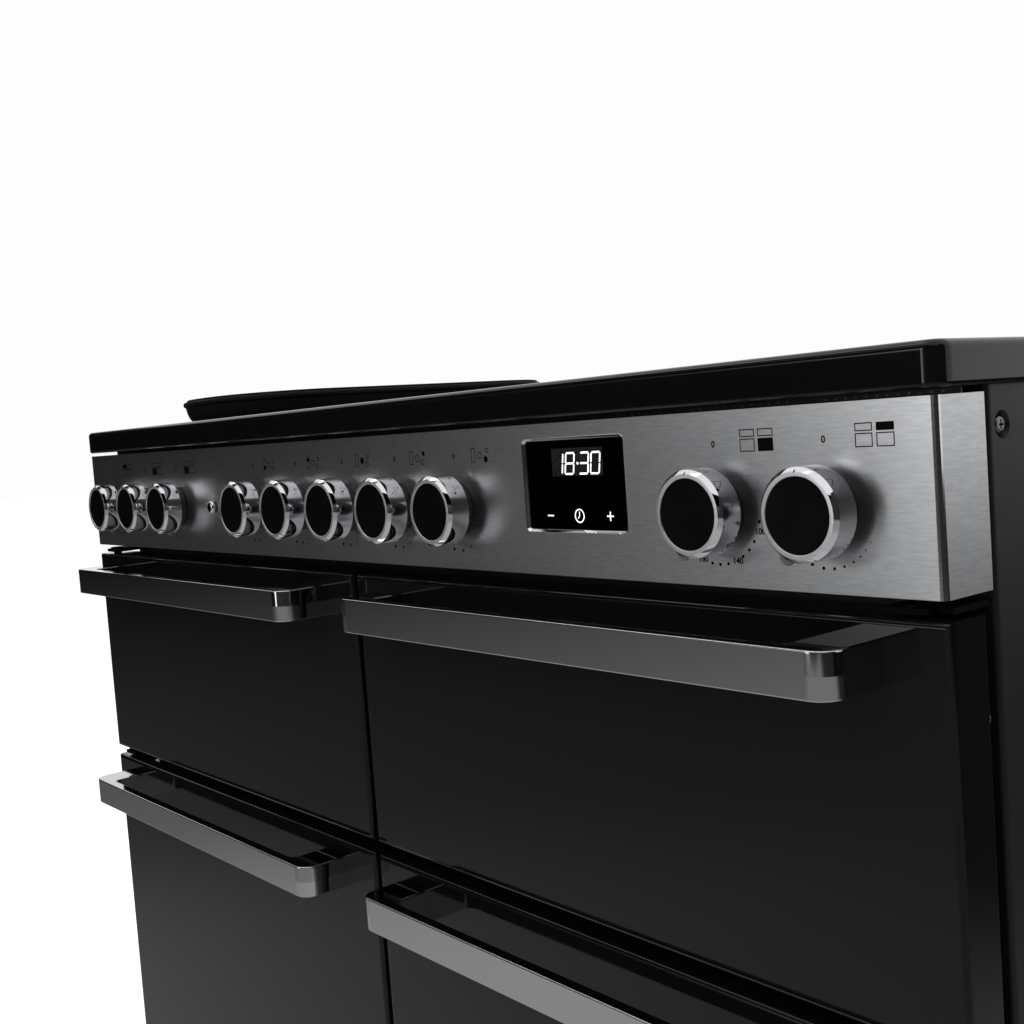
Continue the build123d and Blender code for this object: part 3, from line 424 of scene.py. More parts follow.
def rough_up(look, factor, strength, height):
    tree = look.node_tree
    bump = tree.nodes.new("ShaderNodeBump")
    bump.inputs["Strength"].default_value = strength
    bump.inputs["Distance"].default_value = height
    link(tree, factor, bump.inputs["Height"])
    link(tree, bump.outputs["Normal"], tree.nodes["Principled BSDF"].inputs["Normal"])
    return bump


print("noise from", NOISE_LOW, "to", NOISE_HIGH, "is spread out")

# %% [markdown]
# The control panel is steel brushed from side to side. Brush lines are long scratches, so the noise
# is squeezed along Z, and the anisotropic highlight is turned to spread up and down, across the
# scratches. The bend at each end of the panel is polished, so a mask made from the place along X
# and Y lowers the roughness there.

# %% Brushed steel
BRUSHED_ROUGH, POLISHED_ROUGH = 0.30, 0.10
BEND, BEND_BLUR = 0.003, 0.0002
brushed = finish("brushed_steel", (0.60, 0.61, 0.62), 1.0, BRUSHED_ROUGH)
lines = noise(brushed, 1.0, (110.0, 110.0, 900.0), 1.0)
tint(brushed, lines, (0.56, 0.57, 0.585), (0.66, 0.67, 0.685))
tree = brushed.node_tree
tangent = tree.nodes.new("ShaderNodeTangent")
tangent.direction_type = "RADIAL"
tangent.axis = "Z"
shader = tree.nodes["Principled BSDF"]
shader.inputs["Anisotropic"].default_value = 0.5
shader.inputs["Anisotropic Rotation"].default_value = 0.25
link(tree, tangent.outputs["Tangent"], shader.inputs["Tangent"])
panel_low, panel_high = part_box("control_panel")
panel_face = panel_low[1]
x, y, _ = parts_of(tree, object_place(tree))
bend_x, bend_y = panel_high[0] - BEND, panel_face + BEND
outward = compute(tree, "ABSOLUTE", x)
past_x = ramp(tree, outward, bend_x - BEND_BLUR, bend_x + BEND_BLUR, 0.0, 1.0)
before_y = ramp(tree, y, bend_y - BEND_BLUR, bend_y + BEND_BLUR, 1.0, 0.0)
in_bend = compute(tree, "MULTIPLY", past_x, before_y)
polished = ramp(tree, in_bend, 0.0, 1.0, BRUSHED_ROUGH, POLISHED_ROUGH)
link(tree, polished, shader.inputs["Roughness"])
print("brushed steel is mixed")

# %% [markdown]
# The handles are darkened chrome. Their rounded corners are polished in two faint facets: a bump
# that falls away on both sides of the middle tilts the mirror image up above it and down below it.
# A mask along X keeps the bump to the corners.

# %% Dark chrome
CREASE = math.tan(math.radians(2))
CORNER_START, CORNER_FULL = 0.014, 0.012
dark_chrome = finish("dark_chrome", (0.50, 0.505, 0.515), 1.0, 0.08)
vary(dark_chrome, noise(dark_chrome, 30.0, (0.3, 1, 1)), 0.05, 0.09)
tree = dark_chrome.node_tree
x, _, z = parts_of(tree, object_place(tree))
from_middle = []
for name in ("door_handle_upper_left", "door_handle_lower_left"):
    low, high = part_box(name)
    rise = compute(tree, "SUBTRACT", z, (low[2] + high[2]) / 2)
    from_middle.append(compute(tree, "ABSOLUTE", rise))
crease = compute(tree, "MINIMUM", *from_middle)
bump = rough_up(dark_chrome, compute(tree, "MULTIPLY", crease, -CREASE), 1.0, 1.0)
low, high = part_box("door_handle_upper_left")
handle_middle = -(low[0] + high[0]) / 2
handle_half = (high[0] - low[0]) / 2
along = compute(tree, "SUBTRACT", compute(tree, "ABSOLUTE", x), handle_middle)
along = compute(tree, "ABSOLUTE", along)
in_corner = ramp(tree, along, handle_half - CORNER_START, handle_half - CORNER_FULL, 0.0, 1.0)
link(tree, in_corner, bump.inputs["Strength"])
print("handles of", round(2 * handle_half, 4), "m are creased at their corners")

# %% [markdown]
# The doors are gloss enamel on steel and the cabinet is painted satin black. Polished finishes get
# a low roughness that changes slowly over the surface, so that their mirror image is not perfect.
# Painted ones get a fine grain.

# %% Front finishes
gloss_black = uneven("gloss_black_enamel", (0.003, 0.003, 0.0035), 0.035, 0.075, 9.0, specular=0.3)
rough_up(gloss_black, noise(gloss_black, 60.0), 0.02, 0.0004)
hob_black = uneven("hob_glass", (0.004, 0.004, 0.005), 0.02, 0.06, 14.0)
chrome = uneven("chrome", (0.74, 0.74, 0.76), 0.03, 0.07, 80.0, 1.0)
satin_chrome = uneven("satin_chrome", (0.72, 0.72, 0.75), 0.38, 0.46, 120.0, 1.0)
knob_black = uneven("knob_black", (0.0012, 0.0012, 0.0012), 0.30, 0.40, 60.0, specular=0.07)
satin_black = uneven("satin_black", (0.006, 0.006, 0.0065), 0.40, 0.44, 60.0, specular=0.3)
rough_up(satin_black, noise(satin_black, 900.0), 0.05, 0.0003)
# The hinge brackets are painted black. This matt near-black is darker than the satin black of the
# cabinet, so it also paints the shade that falls in the gap beside the doors.
black_paint_and_shade = uneven("black_paint_and_shade", (0.002, 0.002, 0.002), 0.6, 0.8, 200.0, specular=0.06)
screw_black = uneven("black_zinc_screw", (0.16, 0.16, 0.165), 0.18, 0.30, 300.0, 1.0)
lens_grey = uneven("lens", (0.10, 0.10, 0.105), 0.2, 0.3, 200.0)
nonstick = finish("nonstick", (0.004, 0.004, 0.0045), 0.0, 0.6, 0.06)
tint(nonstick, noise(nonstick, 900.0), (0.003, 0.003, 0.0035), (0.007, 0.007, 0.0075))
rough_up(nonstick, noise(nonstick, 1500.0), 0.15, 0.0003)
print(len(bpy.data.materials), "materials so far")

# %% [markdown]
# Inside and behind, the cooker is made of plainer stuff: speckled vitreous enamel in the ovens,
# galvanised sheet at the back, bright wire shelves, mineral fibre round the ovens and varnished
# copper under the glass.

# %% Inner finishes
galvanised = uneven("galvanised_steel", (0.52, 0.53, 0.54), 0.42, 0.48, 70.0, 1.0)
spangle = noise(galvanised, 70.0, detail=1.0)
tint(galvanised, spangle, (0.49, 0.50, 0.51), (0.55, 0.56, 0.57))
enamel = uneven("oven_enamel", (0.035, 0.036, 0.04), 0.13, 0.24, 12.0)
speckle = noise(enamel, 1400.0, detail=1.0)
tint(enamel, speckle, (0.02, 0.021, 0.024), (0.085, 0.087, 0.095))
door_enamel = uneven("door_enamel", (0.008, 0.008, 0.009), 0.18, 0.30, 12.0, specular=0.35)
speckle = noise(door_enamel, 1400.0, detail=1.0)
tint(door_enamel, speckle, (0.004, 0.004, 0.005), (0.018, 0.018, 0.02))
element = finish("oxidised_element", (0.10, 0.095, 0.09), 1.0, 0.55)
tint(element, noise(element, 120.0), (0.07, 0.065, 0.06), (0.15, 0.14, 0.135))
fibre = finish("mineral_fibre", (0.70, 0.66, 0.55), 0.0, 0.95)
tint(fibre, noise(fibre, 260.0, detail=5.0), (0.58, 0.54, 0.44), (0.78, 0.75, 0.65))
rough_up(fibre, noise(fibre, 500.0, detail=5.0), 0.5, 0.002)
wire = uneven("bright_wire", (0.68, 0.68, 0.69), 0.14, 0.28, 200.0, 1.0)
rubber = uneven("seal_rubber", (0.02, 0.02, 0.02), 0.65, 0.85, 300.0)
cast_fan = uneven("fan_aluminium", (0.62, 0.62, 0.63), 0.32, 0.5, 150.0, 1.0)
copper = uneven("coil_varnish", (0.30, 0.17, 0.09), 0.3, 0.5, 400.0, 0.6)
plastic = uneven("black_plastic", (0.015, 0.015, 0.016), 0.42, 0.58, 500.0)
print(len(bpy.data.materials), "materials")

# %% [markdown]
# ## Finishes on the CAD nodes
# A node whose form is right keeps its mesh and takes a finish. The names of the nodes say what they
# are, so the start of a name picks the finish.

# %% Dress the nodes
looks = [
    ("control_panel", brushed), ("hob_surround", gloss_black), ("hob_glass", hob_black),
    ("door_panel", gloss_black), ("door_handle", dark_chrome), ("door_liner", door_enamel),
    ("door_seals", rubber), ("side_panels", satin_black), ("rear_panel", galvanised),
    ("base_pan", galvanised), ("hob_tray", galvanised), ("hinge_brackets", black_paint_and_shade),
    ("front_frame", satin_black), ("plinth_panel", satin_black), ("panel_screws", screw_black),
    ("oven_liner", enamel), ("oven_insulation", fibre), ("heating_elements", element),
    ("oven_fan", cast_fan), ("fan_motors", galvanised), ("fan_baffles", enamel),
    ("shelf_racks", wire), ("oven_shelf", wire), ("warming_shelf", wire), ("grill_pan", enamel),
    ("induction_modules", copper), ("griddle_plate", nonstick), ("display_unit", plastic),
    ("indicator_lenses", lens_grey), ("control_switches", plastic), ("light_button", chrome),
    ("knob_", chrome), ("foot_", plastic), ("terminal_box", plastic),
]
for name, node in nodes.items():
    look = next(look for start, look in looks if name.startswith(start))
    node.data.materials.clear()
    node.data.materials.append(look)
print("dressed", len(nodes), "nodes")

# %% [markdown]
# ## A helper for new pieces
# Every new piece is a mesh that sits at the origin with its place in its points. It rides on a body
# of the frame, so that it moves with it.

# %% Piece helper
SMOOTH_ANGLE = math.radians(35)


def add_piece(name, mesh, body, replaced=(), smooth=SMOOTH_ANGLE):
    mesh.polygons.foreach_set("use_smooth", [True] * len(mesh.polygons))
    mesh.set_sharp_from_angle(angle=smooth)
    piece = into_scene(name, mesh)
    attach(piece, body)
    if replaced:
        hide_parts(*replaced)


def to_mesh(name, bm, *materials):
    bmesh.ops.recalc_face_normals(bm, faces=bm.faces)
    mesh = bpy.data.meshes.new(name)
    bm.to_mesh(mesh)
    bm.free()
    for material in materials:
        mesh.materials.append(material)
    return mesh


print("pieces can be added")

# %% [markdown]
# ## The knobs
# A knob is turned on a lathe: a chrome body with a flat ring and a bevelled rim, a black face set
# into it and a dark skirt behind. First comes the profile: each row gives a radius and a depth in
# millimetres, and the finish of the surface from there to the next row.

# %% Knob profile
MM = 0.001
CHROME, FACE, SKIRT, RING = 0, 1, 2, 3
knob_low, knob_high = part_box("knob_zone_3")
knob_radius = (knob_high[0] - knob_low[0]) / 2 / MM
knob_length = (knob_high[1] - knob_low[1]) / MM
knob_profile = [
    (0.0, 0.50, FACE), (9.0, 0.49, FACE), (18.2, 0.46, FACE), (18.75, 0.42, RING),
    (18.9, 0.12, RING), (19.05, 0.0, RING), (20.95, 0.0, RING), (21.1, 0.03, CHROME),
    (knob_radius - 0.15, 2.0, CHROME), (knob_radius - 0.04, 2.15, CHROME),
    (knob_radius, 2.4, CHROME), (knob_radius, 15.2, CHROME),
    (knob_radius - 0.15, 15.55, CHROME), (knob_radius - 0.5, 15.7, CHROME),
    (18.2, 15.7, SKIRT), (18.0, 16.0, SKIRT), (18.0, 22.6, SKIRT), (17.5, 22.9, SKIRT),
    (3.0, 22.9, SKIRT), (3.0, knob_length, SKIRT), (0.0, knob_length, SKIRT),
]
print("profile of", len(knob_profile), "rows")

# %% [markdown]
# The lathe sweeps the profile round the Y axis. A row with a radius makes a ring of points, and a
# row on the axis a single point, so that the body closes at both ends.

# %% Lathe
KNOB_SIDES = 128


def lathe(profile, sides):
    bm = bmesh.new()
    angles = [2 * math.pi * index / sides for index in range(sides)]
    rings = []
    for radius, depth, _ in profile:
        if radius == 0:
            rings.append([bm.verts.new((0, depth * MM, 0))] * sides)
            continue
        wide, deep = radius * MM, depth * MM
        ring = [(wide * math.sin(a), deep, wide * math.cos(a)) for a in angles]
        rings.append([bm.verts.new(point) for point in ring])
    for step in range(len(profile) - 1):
        first, second = rings[step], rings[step + 1]
        for index in range(sides):
            after = (index + 1) % sides
            corners = [first[index], first[after], second[after], second[index]]
            face = bm.faces.new(list(dict.fromkeys(corners)))
            face.material_index = profile[step][2]
    return bm


knob_body = lathe(knob_profile, KNOB_SIDES)
knob_mesh = to_mesh("knob", knob_body, chrome, knob_black, plastic, satin_chrome)
print("turned a knob of", round(2 * knob_radius, 1), "mm across")

# %% [markdown]
# A thin notch at the top of the rim points at the setting. A Boolean modifier with a small box cuts
# it, and the evaluated result becomes a plain mesh. It is the same knob ten times, so the mesh is
# copied and moved to the place of each CAD knob. A small smoothing angle keeps the bevels crisp.

# %% Notch and ten knobs
KNOB_SMOOTH = math.radians(12)
NOTCH_LOW, NOTCH_HIGH = (-0.0004, -0.002, 0.0205), (0.0004, 0.0009, 0.0260)


def boxed(name, low, high, material):
    bm = bmesh.new()
    bmesh.ops.create_cube(bm, size=1.0)
    for vert in bm.verts:
        vert.co = [a + (b - a) * (part + 0.5) for a, b, part in zip(low, high, vert.co)]
    return to_mesh(name, bm, material)


def evaluated_mesh(thing):
    depsgraph = bpy.context.evaluated_depsgraph_get()
    return bpy.data.meshes.new_from_object(thing.evaluated_get(depsgraph))


def cut(mesh, cutter_mesh):
    thing = into_scene("cut", mesh)
    cutter = into_scene("cutter", cutter_mesh)
    knife = thing.modifiers.new("knife", "BOOLEAN")
    knife.operation = "DIFFERENCE"
    knife.solver = "EXACT"
    knife.object = cutter
    result = evaluated_mesh(thing)
    bpy.data.objects.remove(thing)
    bpy.data.objects.remove(cutter)
    return result


knob_mesh = cut(knob_mesh, boxed("notch", NOTCH_LOW, NOTCH_HIGH, plastic))
knob_names = [name for name in nodes if name.startswith("knob_")]
for name in knob_names:
    low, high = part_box(name)
    mesh = knob_mesh.copy()
    place = ((low[0] + high[0]) / 2, low[1], (low[2] + high[2]) / 2)
    mesh.transform(Matrix.Translation(place))
    add_piece(name + "_turned", mesh, name, [name], KNOB_SMOOTH)
print(len(knob_names), "knobs of", len(knob_mesh.polygons), "faces")

# %% [markdown]
# ## Print on the panel
# Symbols are printed on the steel in black ink. A flat drawing in millimetres is made first, as
# closed prisms and hoops a few hundredths thick, and a matrix then lays it on the panel.

# %% Prisms and hoops
INK = 0.04
onto_panel = Matrix(((MM, 0, 0, 0), (0, 0, -MM, panel_face), (0, MM, 0, 0), (0, 0, 0, 1)))


def rectangle(x0, y0, x1, y1):
    return [(x0, y0), (x1, y0), (x1, y1), (x0, y1)]


def circle(x, y, radius, sides=24):
    angles = [2 * math.pi * index / sides for index in range(sides)]
    return [(x + radius * math.cos(a), y + radius * math.sin(a)) for a in angles]


def cross(x, y, reach, half):
    right = [(reach, -half), (reach, half), (half, half)]
    up = [(half, reach), (-half, reach), (-half, half)]
    turned = [(-dx, -dy) for dx, dy in right + up]
    return [(x + dx, y + dy) for dx, dy in right + up + turned]


def prism(bm, outline, top=INK, bottom=0.0):
    over = [bm.verts.new((x, y, top)) for x, y in outline]
    under = [bm.verts.new((x, y, bottom)) for x, y in outline]
    bm.faces.new(over)
    bm.faces.new(under[::-1])
    for index in range(len(outline)):
        after = (index + 1) % len(outline)
        bm.faces.new([under[index], under[after], over[after], over[index]])


def hoop(bm, outer, inner, top=INK, bottom=0.0):
    edges = ((outer, top), (inner, top), (inner, bottom), (outer, bottom))
    loops = [[bm.verts.new((x, y, z)) for x, y in outline] for outline, z in edges]
    for first, second in zip(loops, loops[1:] + loops[:1]):
        for index in range(len(outer)):
            after = (index + 1) % len(outer)
            bm.faces.new([first[index], first[after], second[after], second[index]])


def box_outline(bm, x0, y0, x1, y1, stroke):
    inner = rectangle(x0 + stroke, y0 + stroke, x1 - stroke, y1 - stroke)
    hoop(bm, rectangle(x0, y0, x1, y1), inner)


print("ink is", INK, "mm thick")

# %% [markdown]
# Figures are text curves. The size of such a curve is the height of a whole line, so the height
# wanted is divided by the share of a line that a capital takes. A small offset makes the figures
# bolder, and the curve becomes a mesh before it joins the drawing.

# %% Lettering
CAPITAL, BOLDNESS = 0.7, 0.045


def lettering(bm, text, x, y, height):
    curve = bpy.data.curves.new("lettering", "FONT")
    curve.body = text
    curve.size = height / CAPITAL
    curve.align_x = "CENTER"
    curve.align_y = "CENTER"
    curve.extrude = INK / 2
    curve.offset = height * BOLDNESS
    thing = into_scene("lettering", curve)
    mesh = evaluated_mesh(thing)
    mesh.transform(Matrix.Translation((x, y, INK / 2)))
    bm.from_mesh(mesh)
    bpy.data.objects.remove(thing)
    bpy.data.meshes.remove(mesh)


print("capitals take", CAPITAL, "of a line")

# %% [markdown]
# A zero stands above each knob. Beside it is a small plan of the four ovens, or of the five zones
# of the hob, with the one that the knob serves filled in. One oven dial also has figures. All
# places are measured from the middle of the knob.

# %% Symbols and figures
STROKE = 0.55
ZERO_PLACE, ZERO_HEIGHT = (0.4, 34.6), 3.4
FIGURE_HEIGHT = 3.2
oven_fields = {
    "top_left": (0, 1), "top_right": (1, 1), "bottom_left": (0, 0), "bottom_right": (1, 0),
}
oven_columns = ((18.5, 28.2), (30.3, 40.0))
oven_rows = ((30.2, 36.9), (37.75, 41.7))
zone_box = (19.4, 30.2, 23.6, 39.8)
zone_spots = [
    (21.4, 32.8, 1.6), (21.4, 37.2, 1.6), (28.6, 34.5, 2.4), (36.2, 37.6, 1.7), (34.6, 32.0, 2.1),
]
spots_in_box = 2
dial_figures = [("100", 28.5, -10.7), ("140", 12.7, -26.4), ("180", -11.1, -26.2)]
ink = uneven("print_ink", (0.002, 0.002, 0.002), 0.48, 0.62, 700.0, specular=0.02)


def middle(name):
    low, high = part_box(name)
    return [(a + b) / 2 for a, b in zip(low, high)]


def oven_plan(bm, x, chosen):
    for column, (x0, x1) in enumerate(oven_columns):
        for row, (z0, z1) in enumerate(oven_rows):
            field = (x + x0, knob_axis + z0, x + x1, knob_axis + z1)
            if chosen == (column, row):
                prism(bm, rectangle(*field))
            else:
                box_outline(bm, *field, STROKE)


def zone_plan(bm, x, chosen):
    x0, z0, x1, z1 = zone_box
    box_outline(bm, x + x0, knob_axis + z0, x + x1, knob_axis + z1, STROKE)
    for index, (dx, dz, radius) in enumerate(zone_spots):
        outer = circle(x + dx, knob_axis + dz, radius)
        if index == chosen:
            prism(bm, outer)
        elif index >= spots_in_box:
            hoop(bm, outer, circle(x + dx, knob_axis + dz, radius - STROKE))


knob_axis = middle("knob_zone_3")[2] / MM
bm = bmesh.new()
for name in knob_names:
    x = middle(name)[0] / MM
    lettering(bm, "0", x + ZERO_PLACE[0], knob_axis + ZERO_PLACE[1], ZERO_HEIGHT)
    if name.startswith("knob_zone_"):
        zone_plan(bm, x, int(name[-1]) - 1)
        continue
    oven_plan(bm, x, oven_fields["_".join(name.split("_")[1:3])])
    if name == "knob_bottom_right_oven":
        for text, dx, dz in dial_figures:
            lettering(bm, text, x + dx, knob_axis + dz, FIGURE_HEIGHT)
bm.transform(onto_panel)
add_piece("panel_print", to_mesh("panel_print", bm, ink), "cabinet")
print("print stands by", len(knob_names), "knobs")

# %% [markdown]
# Rows of dots are the same small disc many times over, so Geometry Nodes make them: a disc is put
# on every point of a small point cloud and scaled by an attribute of that point. The tree has named
# inputs, so that it serves all dots of the cooker.

# %% Dot tree
def dot_tree():
    tree = bpy.data.node_groups.new("dots", "GeometryNodeTree")
    kinds = {"Geometry": "Geometry", "Radius": "Float", "Depth": "Float", "Sides": "Int",
             "Turn": "Vector", "Finish": "Material"}
    sockets = {}
    for label, kind in kinds.items():
        made = tree.interface.new_socket(label, in_out="INPUT", socket_type="NodeSocket" + kind)
        sockets[label] = made.identifier
    tree.interface.new_socket("Geometry", in_out="OUTPUT", socket_type="NodeSocketGeometry")
    enter = tree.nodes.new("NodeGroupInput").outputs
    leave = tree.nodes.new("NodeGroupOutput").inputs
    disc = tree.nodes.new("GeometryNodeMeshCylinder")
    size = tree.nodes.new("GeometryNodeInputNamedAttribute")
    size.data_type = "FLOAT"
    size.inputs["Name"].default_value = "size"
    turn = tree.nodes.new("FunctionNodeEulerToRotation")
    place = tree.nodes.new("GeometryNodeInstanceOnPoints")
    real = tree.nodes.new("GeometryNodeRealizeInstances")
    paint = tree.nodes.new("GeometryNodeSetMaterial")
    for source, target in (
        (enter["Radius"], disc.inputs["Radius"]),
        (enter["Depth"], disc.inputs["Depth"]),
        (enter["Sides"], disc.inputs["Vertices"]),
        (enter["Turn"], turn.inputs["Euler"]),
        (enter["Geometry"], place.inputs["Points"]),
        (disc.outputs["Mesh"], place.inputs["Instance"]),
        (turn.outputs["Rotation"], place.inputs["Rotation"]),
        (size.outputs["Attribute"], place.inputs["Scale"]),
        (place.outputs["Instances"], real.inputs["Geometry"]),
        (real.outputs["Geometry"], paint.inputs["Geometry"]),
        (enter["Finish"], paint.inputs["Material"]),
        (paint.outputs["Geometry"], leave["Geometry"]),
    ):
        link(tree, source, target)
    return tree, sockets


dots, dot_sockets = dot_tree()
print("dot tree has inputs", list(dot_sockets))

# %% [markdown]
# A modifier runs the tree on a point cloud. Its inputs are set by the identifiers of their sockets,
# the discs are turned to face the front, and the result becomes one plain mesh.

# %% Dot mesh
FACING_FRONT = (math.pi / 2, 0, 0)


def dot_mesh(name, points, radius, depth, sides, look):
    cloud = bpy.data.meshes.new(name + "_points")
    cloud.from_pydata([point[:3] for point in points], [], [])
    size = cloud.attributes.new("size", "FLOAT", "POINT")
    size.data.foreach_set("value", [point[3] for point in points])
    thing = into_scene(name, cloud)
    maker = thing.modifiers.new("dots", "NODES")
    maker.node_group = dots
    values = {"Radius": radius, "Depth": depth, "Sides": sides, "Turn": FACING_FRONT,
              "Finish": look}
    for label, value in values.items():
        maker[dot_sockets[label]] = value
    mesh = evaluated_mesh(thing)
    bpy.data.objects.remove(thing)
    return mesh


print("dots can be made")

# %% [markdown]
# Round most knobs the dots follow an arc and grow with the setting. An angle of 0 points up, and
# the angles run with the clock. The dots of the one dial with figures stand at places of their own.

# %% Dots on the panel
DOT_RADIUS, DOT_SIDES = 0.0009, 16
SMALLEST_DOT, DOT_GROWTH = 0.4, 0.1
ARC_RADIUS = 28.1
oven_dial = [
    (28.3, -5.6), (24.2, -15.9), (20.6, -20.3), (16.3, -23.9), (6.1, -28.1), (0.5, -28.6),
    (-5.0, -28.1),
]
level_turns = [121, 131, 140, 150, 162, 174, 187, 201]
zone_turns = [(193, 1.25), (173, 1.05), (153, 0.85), (132, 0.65)]


def round_knob(x, turn, size):
    angle = math.radians(turn)
    reach = ARC_RADIUS * MM
    return (x + reach * math.sin(angle), knob_axis * MM + reach * math.cos(angle), size)


marks = []
for name in knob_names:
    x = middle(name)[0]
    if name.startswith("knob_zone_"):
        marks += [round_knob(x, turn, size) for turn, size in zone_turns]
    elif name == "knob_bottom_right_oven":
        marks += [(x + dx * MM, (knob_axis + dz) * MM, 1.0) for dx, dz in oven_dial]
    else:
        for step, turn in enumerate(level_turns):
            marks.append(round_knob(x, turn, SMALLEST_DOT + DOT_GROWTH * step))
points = [(x, panel_face, z, size) for x, z, size in marks]
mesh = dot_mesh("panel_dots", points, DOT_RADIUS, 2 * INK * MM, DOT_SIDES, ink)
add_piece("panel_dots", mesh, "cabinet")
print(len(points), "dots on the panel")

# %% [markdown]
# ## The display
# The timer is a black glass set back in a chrome bezel whose sides slope in. The bezel is built
# from rounded outlines of one size after another, joined like the hoops of a basket. Each layer
# gives an inset, a height over the panel and a finish.

# %% Bezel and glass
DISPLAY_CORNER, CORNER_STEPS, SMALLEST_CORNER = 3.5, 6, 0.4
GLASS_DEPTH = -1.5
BEZEL, GLASS = 0, 1
display_low, display_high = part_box("display_unit")
display_x = (display_low[0] + display_high[0]) / 2 / MM
display_z = (display_low[2] + display_high[2]) / 2 / MM
display_width = (display_high[0] - display_low[0]) / MM
display_height = (display_high[2] - display_low[2]) / MM
display_depth = (display_high[1] - panel_face) / MM
bezel_layers = [
    (0.05, -display_depth, GLASS), (0.05, -0.3, BEZEL), (0.0, 0.1, BEZEL), (0.15, 0.3, BEZEL),
    (0.4, 0.32, BEZEL), (1.7, GLASS_DEPTH + 0.1, BEZEL), (1.8, GLASS_DEPTH, GLASS),
]


def rounded(inset):
    half_x = display_width / 2 - inset
    half_z = display_height / 2 - inset
    radius = max(DISPLAY_CORNER - inset, SMALLEST_CORNER)
    points = []
    for corner, (sx, sz) in enumerate(((1, 1), (-1, 1), (-1, -1), (1, -1))):
        for step in range(CORNER_STEPS + 1):
            angle = math.pi / 2 * (corner + step / CORNER_STEPS)
            x = display_x + sx * (half_x - radius) + radius * math.cos(angle)
            z = display_z + sz * (half_z - radius) + radius * math.sin(angle)
            points.append((x, z))
    return points


def stacked(bm, layers):
    loops = [[bm.verts.new((x, z, rise)) for x, z in rounded(inset)] for inset, rise, _ in layers]
    for first, second, layer in zip(loops, loops[1:], layers):
        for index in range(len(first)):
            after = (index + 1) % len(first)
            quad = [first[index], first[after], second[after], second[index]]
            bm.faces.new(quad).material_index = layer[2]
    bm.faces.new(loops[0][::-1]).material_index = GLASS
    bm.faces.new(loops[-1]).material_index = GLASS


glass_black = uneven("display_glass", (0.0003, 0.0003, 0.0003), 0.05, 0.11, 20.0, specular=0.04)
bm = bmesh.new()
stacked(bm, bezel_layers)
bm.transform(onto_panel)
display_mesh = to_mesh("display", bm, chrome, glass_black)
add_piece("display_face", display_mesh, "cabinet", ["display_unit"])
print("display", round(display_width, 1), "by", round(display_height, 1), "mm")

# %% [markdown]
# The time is shown by bright bars, up to seven to a figure, that lean a little to the right. Each
# bar is a long hexagon, so that neighbours meet at a mitre. The finish gives its own light.

# %% Time on the display
DIGIT_WIDTH, DIGIT_HEIGHT, DIGIT_BASE = 7.4, 12.4, 6.5
BAR, BAR_GAP, LEAN = 1.1, 0.15, 0.14
COLON_X, COLON_RADIUS = 3.9, 0.8
LIT_THICK = 0.06
LIT = (GLASS_DEPTH + LIT_THICK, GLASS_DEPTH)
digit_starts = (-17.6, -7.6, 4.9, 14.6)
segments_of = {"1": "bc", "8": "abcdefg", "3": "abcdg", "0": "abcdef"}
half = DIGIT_HEIGHT / 2
segment_ends = {
    "a": (0, DIGIT_HEIGHT, DIGIT_WIDTH, DIGIT_HEIGHT), "g": (0, half, DIGIT_WIDTH, half),
    "d": (0, 0, DIGIT_WIDTH, 0), "f": (0, half, 0, DIGIT_HEIGHT), "e": (0, 0, 0, half),
    "b": (DIGIT_WIDTH, half, DIGIT_WIDTH, DIGIT_HEIGHT), "c": (DIGIT_WIDTH, 0, DIGIT_WIDTH, half),
}
lit = finish("lit_figures", (0.8, 0.82, 0.85), 0.0, 0.4)
shader = lit.node_tree.nodes["Principled BSDF"]
shader.inputs["Emission Color"].default_value = (0.93, 0.96, 1.0, 1)
shader.inputs["Emission Strength"].default_value = 0.95


def segment(bm, start, name):
    x0, z0, x1, z1 = segment_ends[name]
    along = Vector((x1 - x0, z1 - z0)).normalized()
    across = Vector((-along.y, along.x)) * BAR / 2
    begin = Vector((x0, z0)) + along * (BAR / 2 + BAR_GAP)
    end = Vector((x1, z1)) - along * (BAR / 2 + BAR_GAP)
    tip = along * BAR / 2
    outline = [begin - tip, begin - across, end - across, end + tip, end + across, begin + across]
    base_x, base_z = display_x + start, display_z + DIGIT_BASE
    prism(bm, [(base_x + p.x + LEAN * p.y, base_z + p.y) for p in outline], *LIT)


figures = bmesh.new()
for start, figure in zip(digit_starts, "1830"):
    for name in segments_of[figure]:
        segment(figures, start, name)
colon = circle(display_x + COLON_X, display_z + DIGIT_BASE + half, COLON_RADIUS)
prism(figures, colon, *LIT)
print("display shows 18:30")

# %% [markdown]
# Below the time are three touch signs: less, a clock and more. A faint window behind the figures
# is the part of the glass that the bars shine through.

# %% Signs and window
SIGN_REACH, SIGN_HALF, SIGN_DROP = 2.7, 0.4, 18.6
MINUS_X, CLOCK_X, PLUS_X = -23.3, 2.7, 29.0
CLOCK_OUTER, CLOCK_INNER, CLOCK_SIDES = 4.2, 3.5, 32
WINDOW = (-19.1, 5.2, 25.4, 21.9)
WINDOW_HALF = 0.02
sign_z = display_z - SIGN_DROP
minus_x = display_x + MINUS_X
minus = (minus_x - SIGN_REACH, sign_z - SIGN_HALF, minus_x + SIGN_REACH, sign_z + SIGN_HALF)
prism(figures, rectangle(*minus), *LIT)
prism(figures, cross(display_x + PLUS_X, sign_z, SIGN_REACH, SIGN_HALF), *LIT)
clock = (display_x + CLOCK_X, sign_z)
dial = circle(*clock, CLOCK_OUTER, CLOCK_SIDES), circle(*clock, CLOCK_INNER, CLOCK_SIDES)
hoop(figures, *dial, *LIT)
hands = [(-0.3, 2.5), (-0.3, 0.0), (-1.6, -1.3), (-1.1, -1.7), (0.3, 0.0), (0.3, 2.5)]
prism(figures, [(clock[0] + dx, clock[1] + dz) for dx, dz in hands], *LIT)
figures.transform(onto_panel)
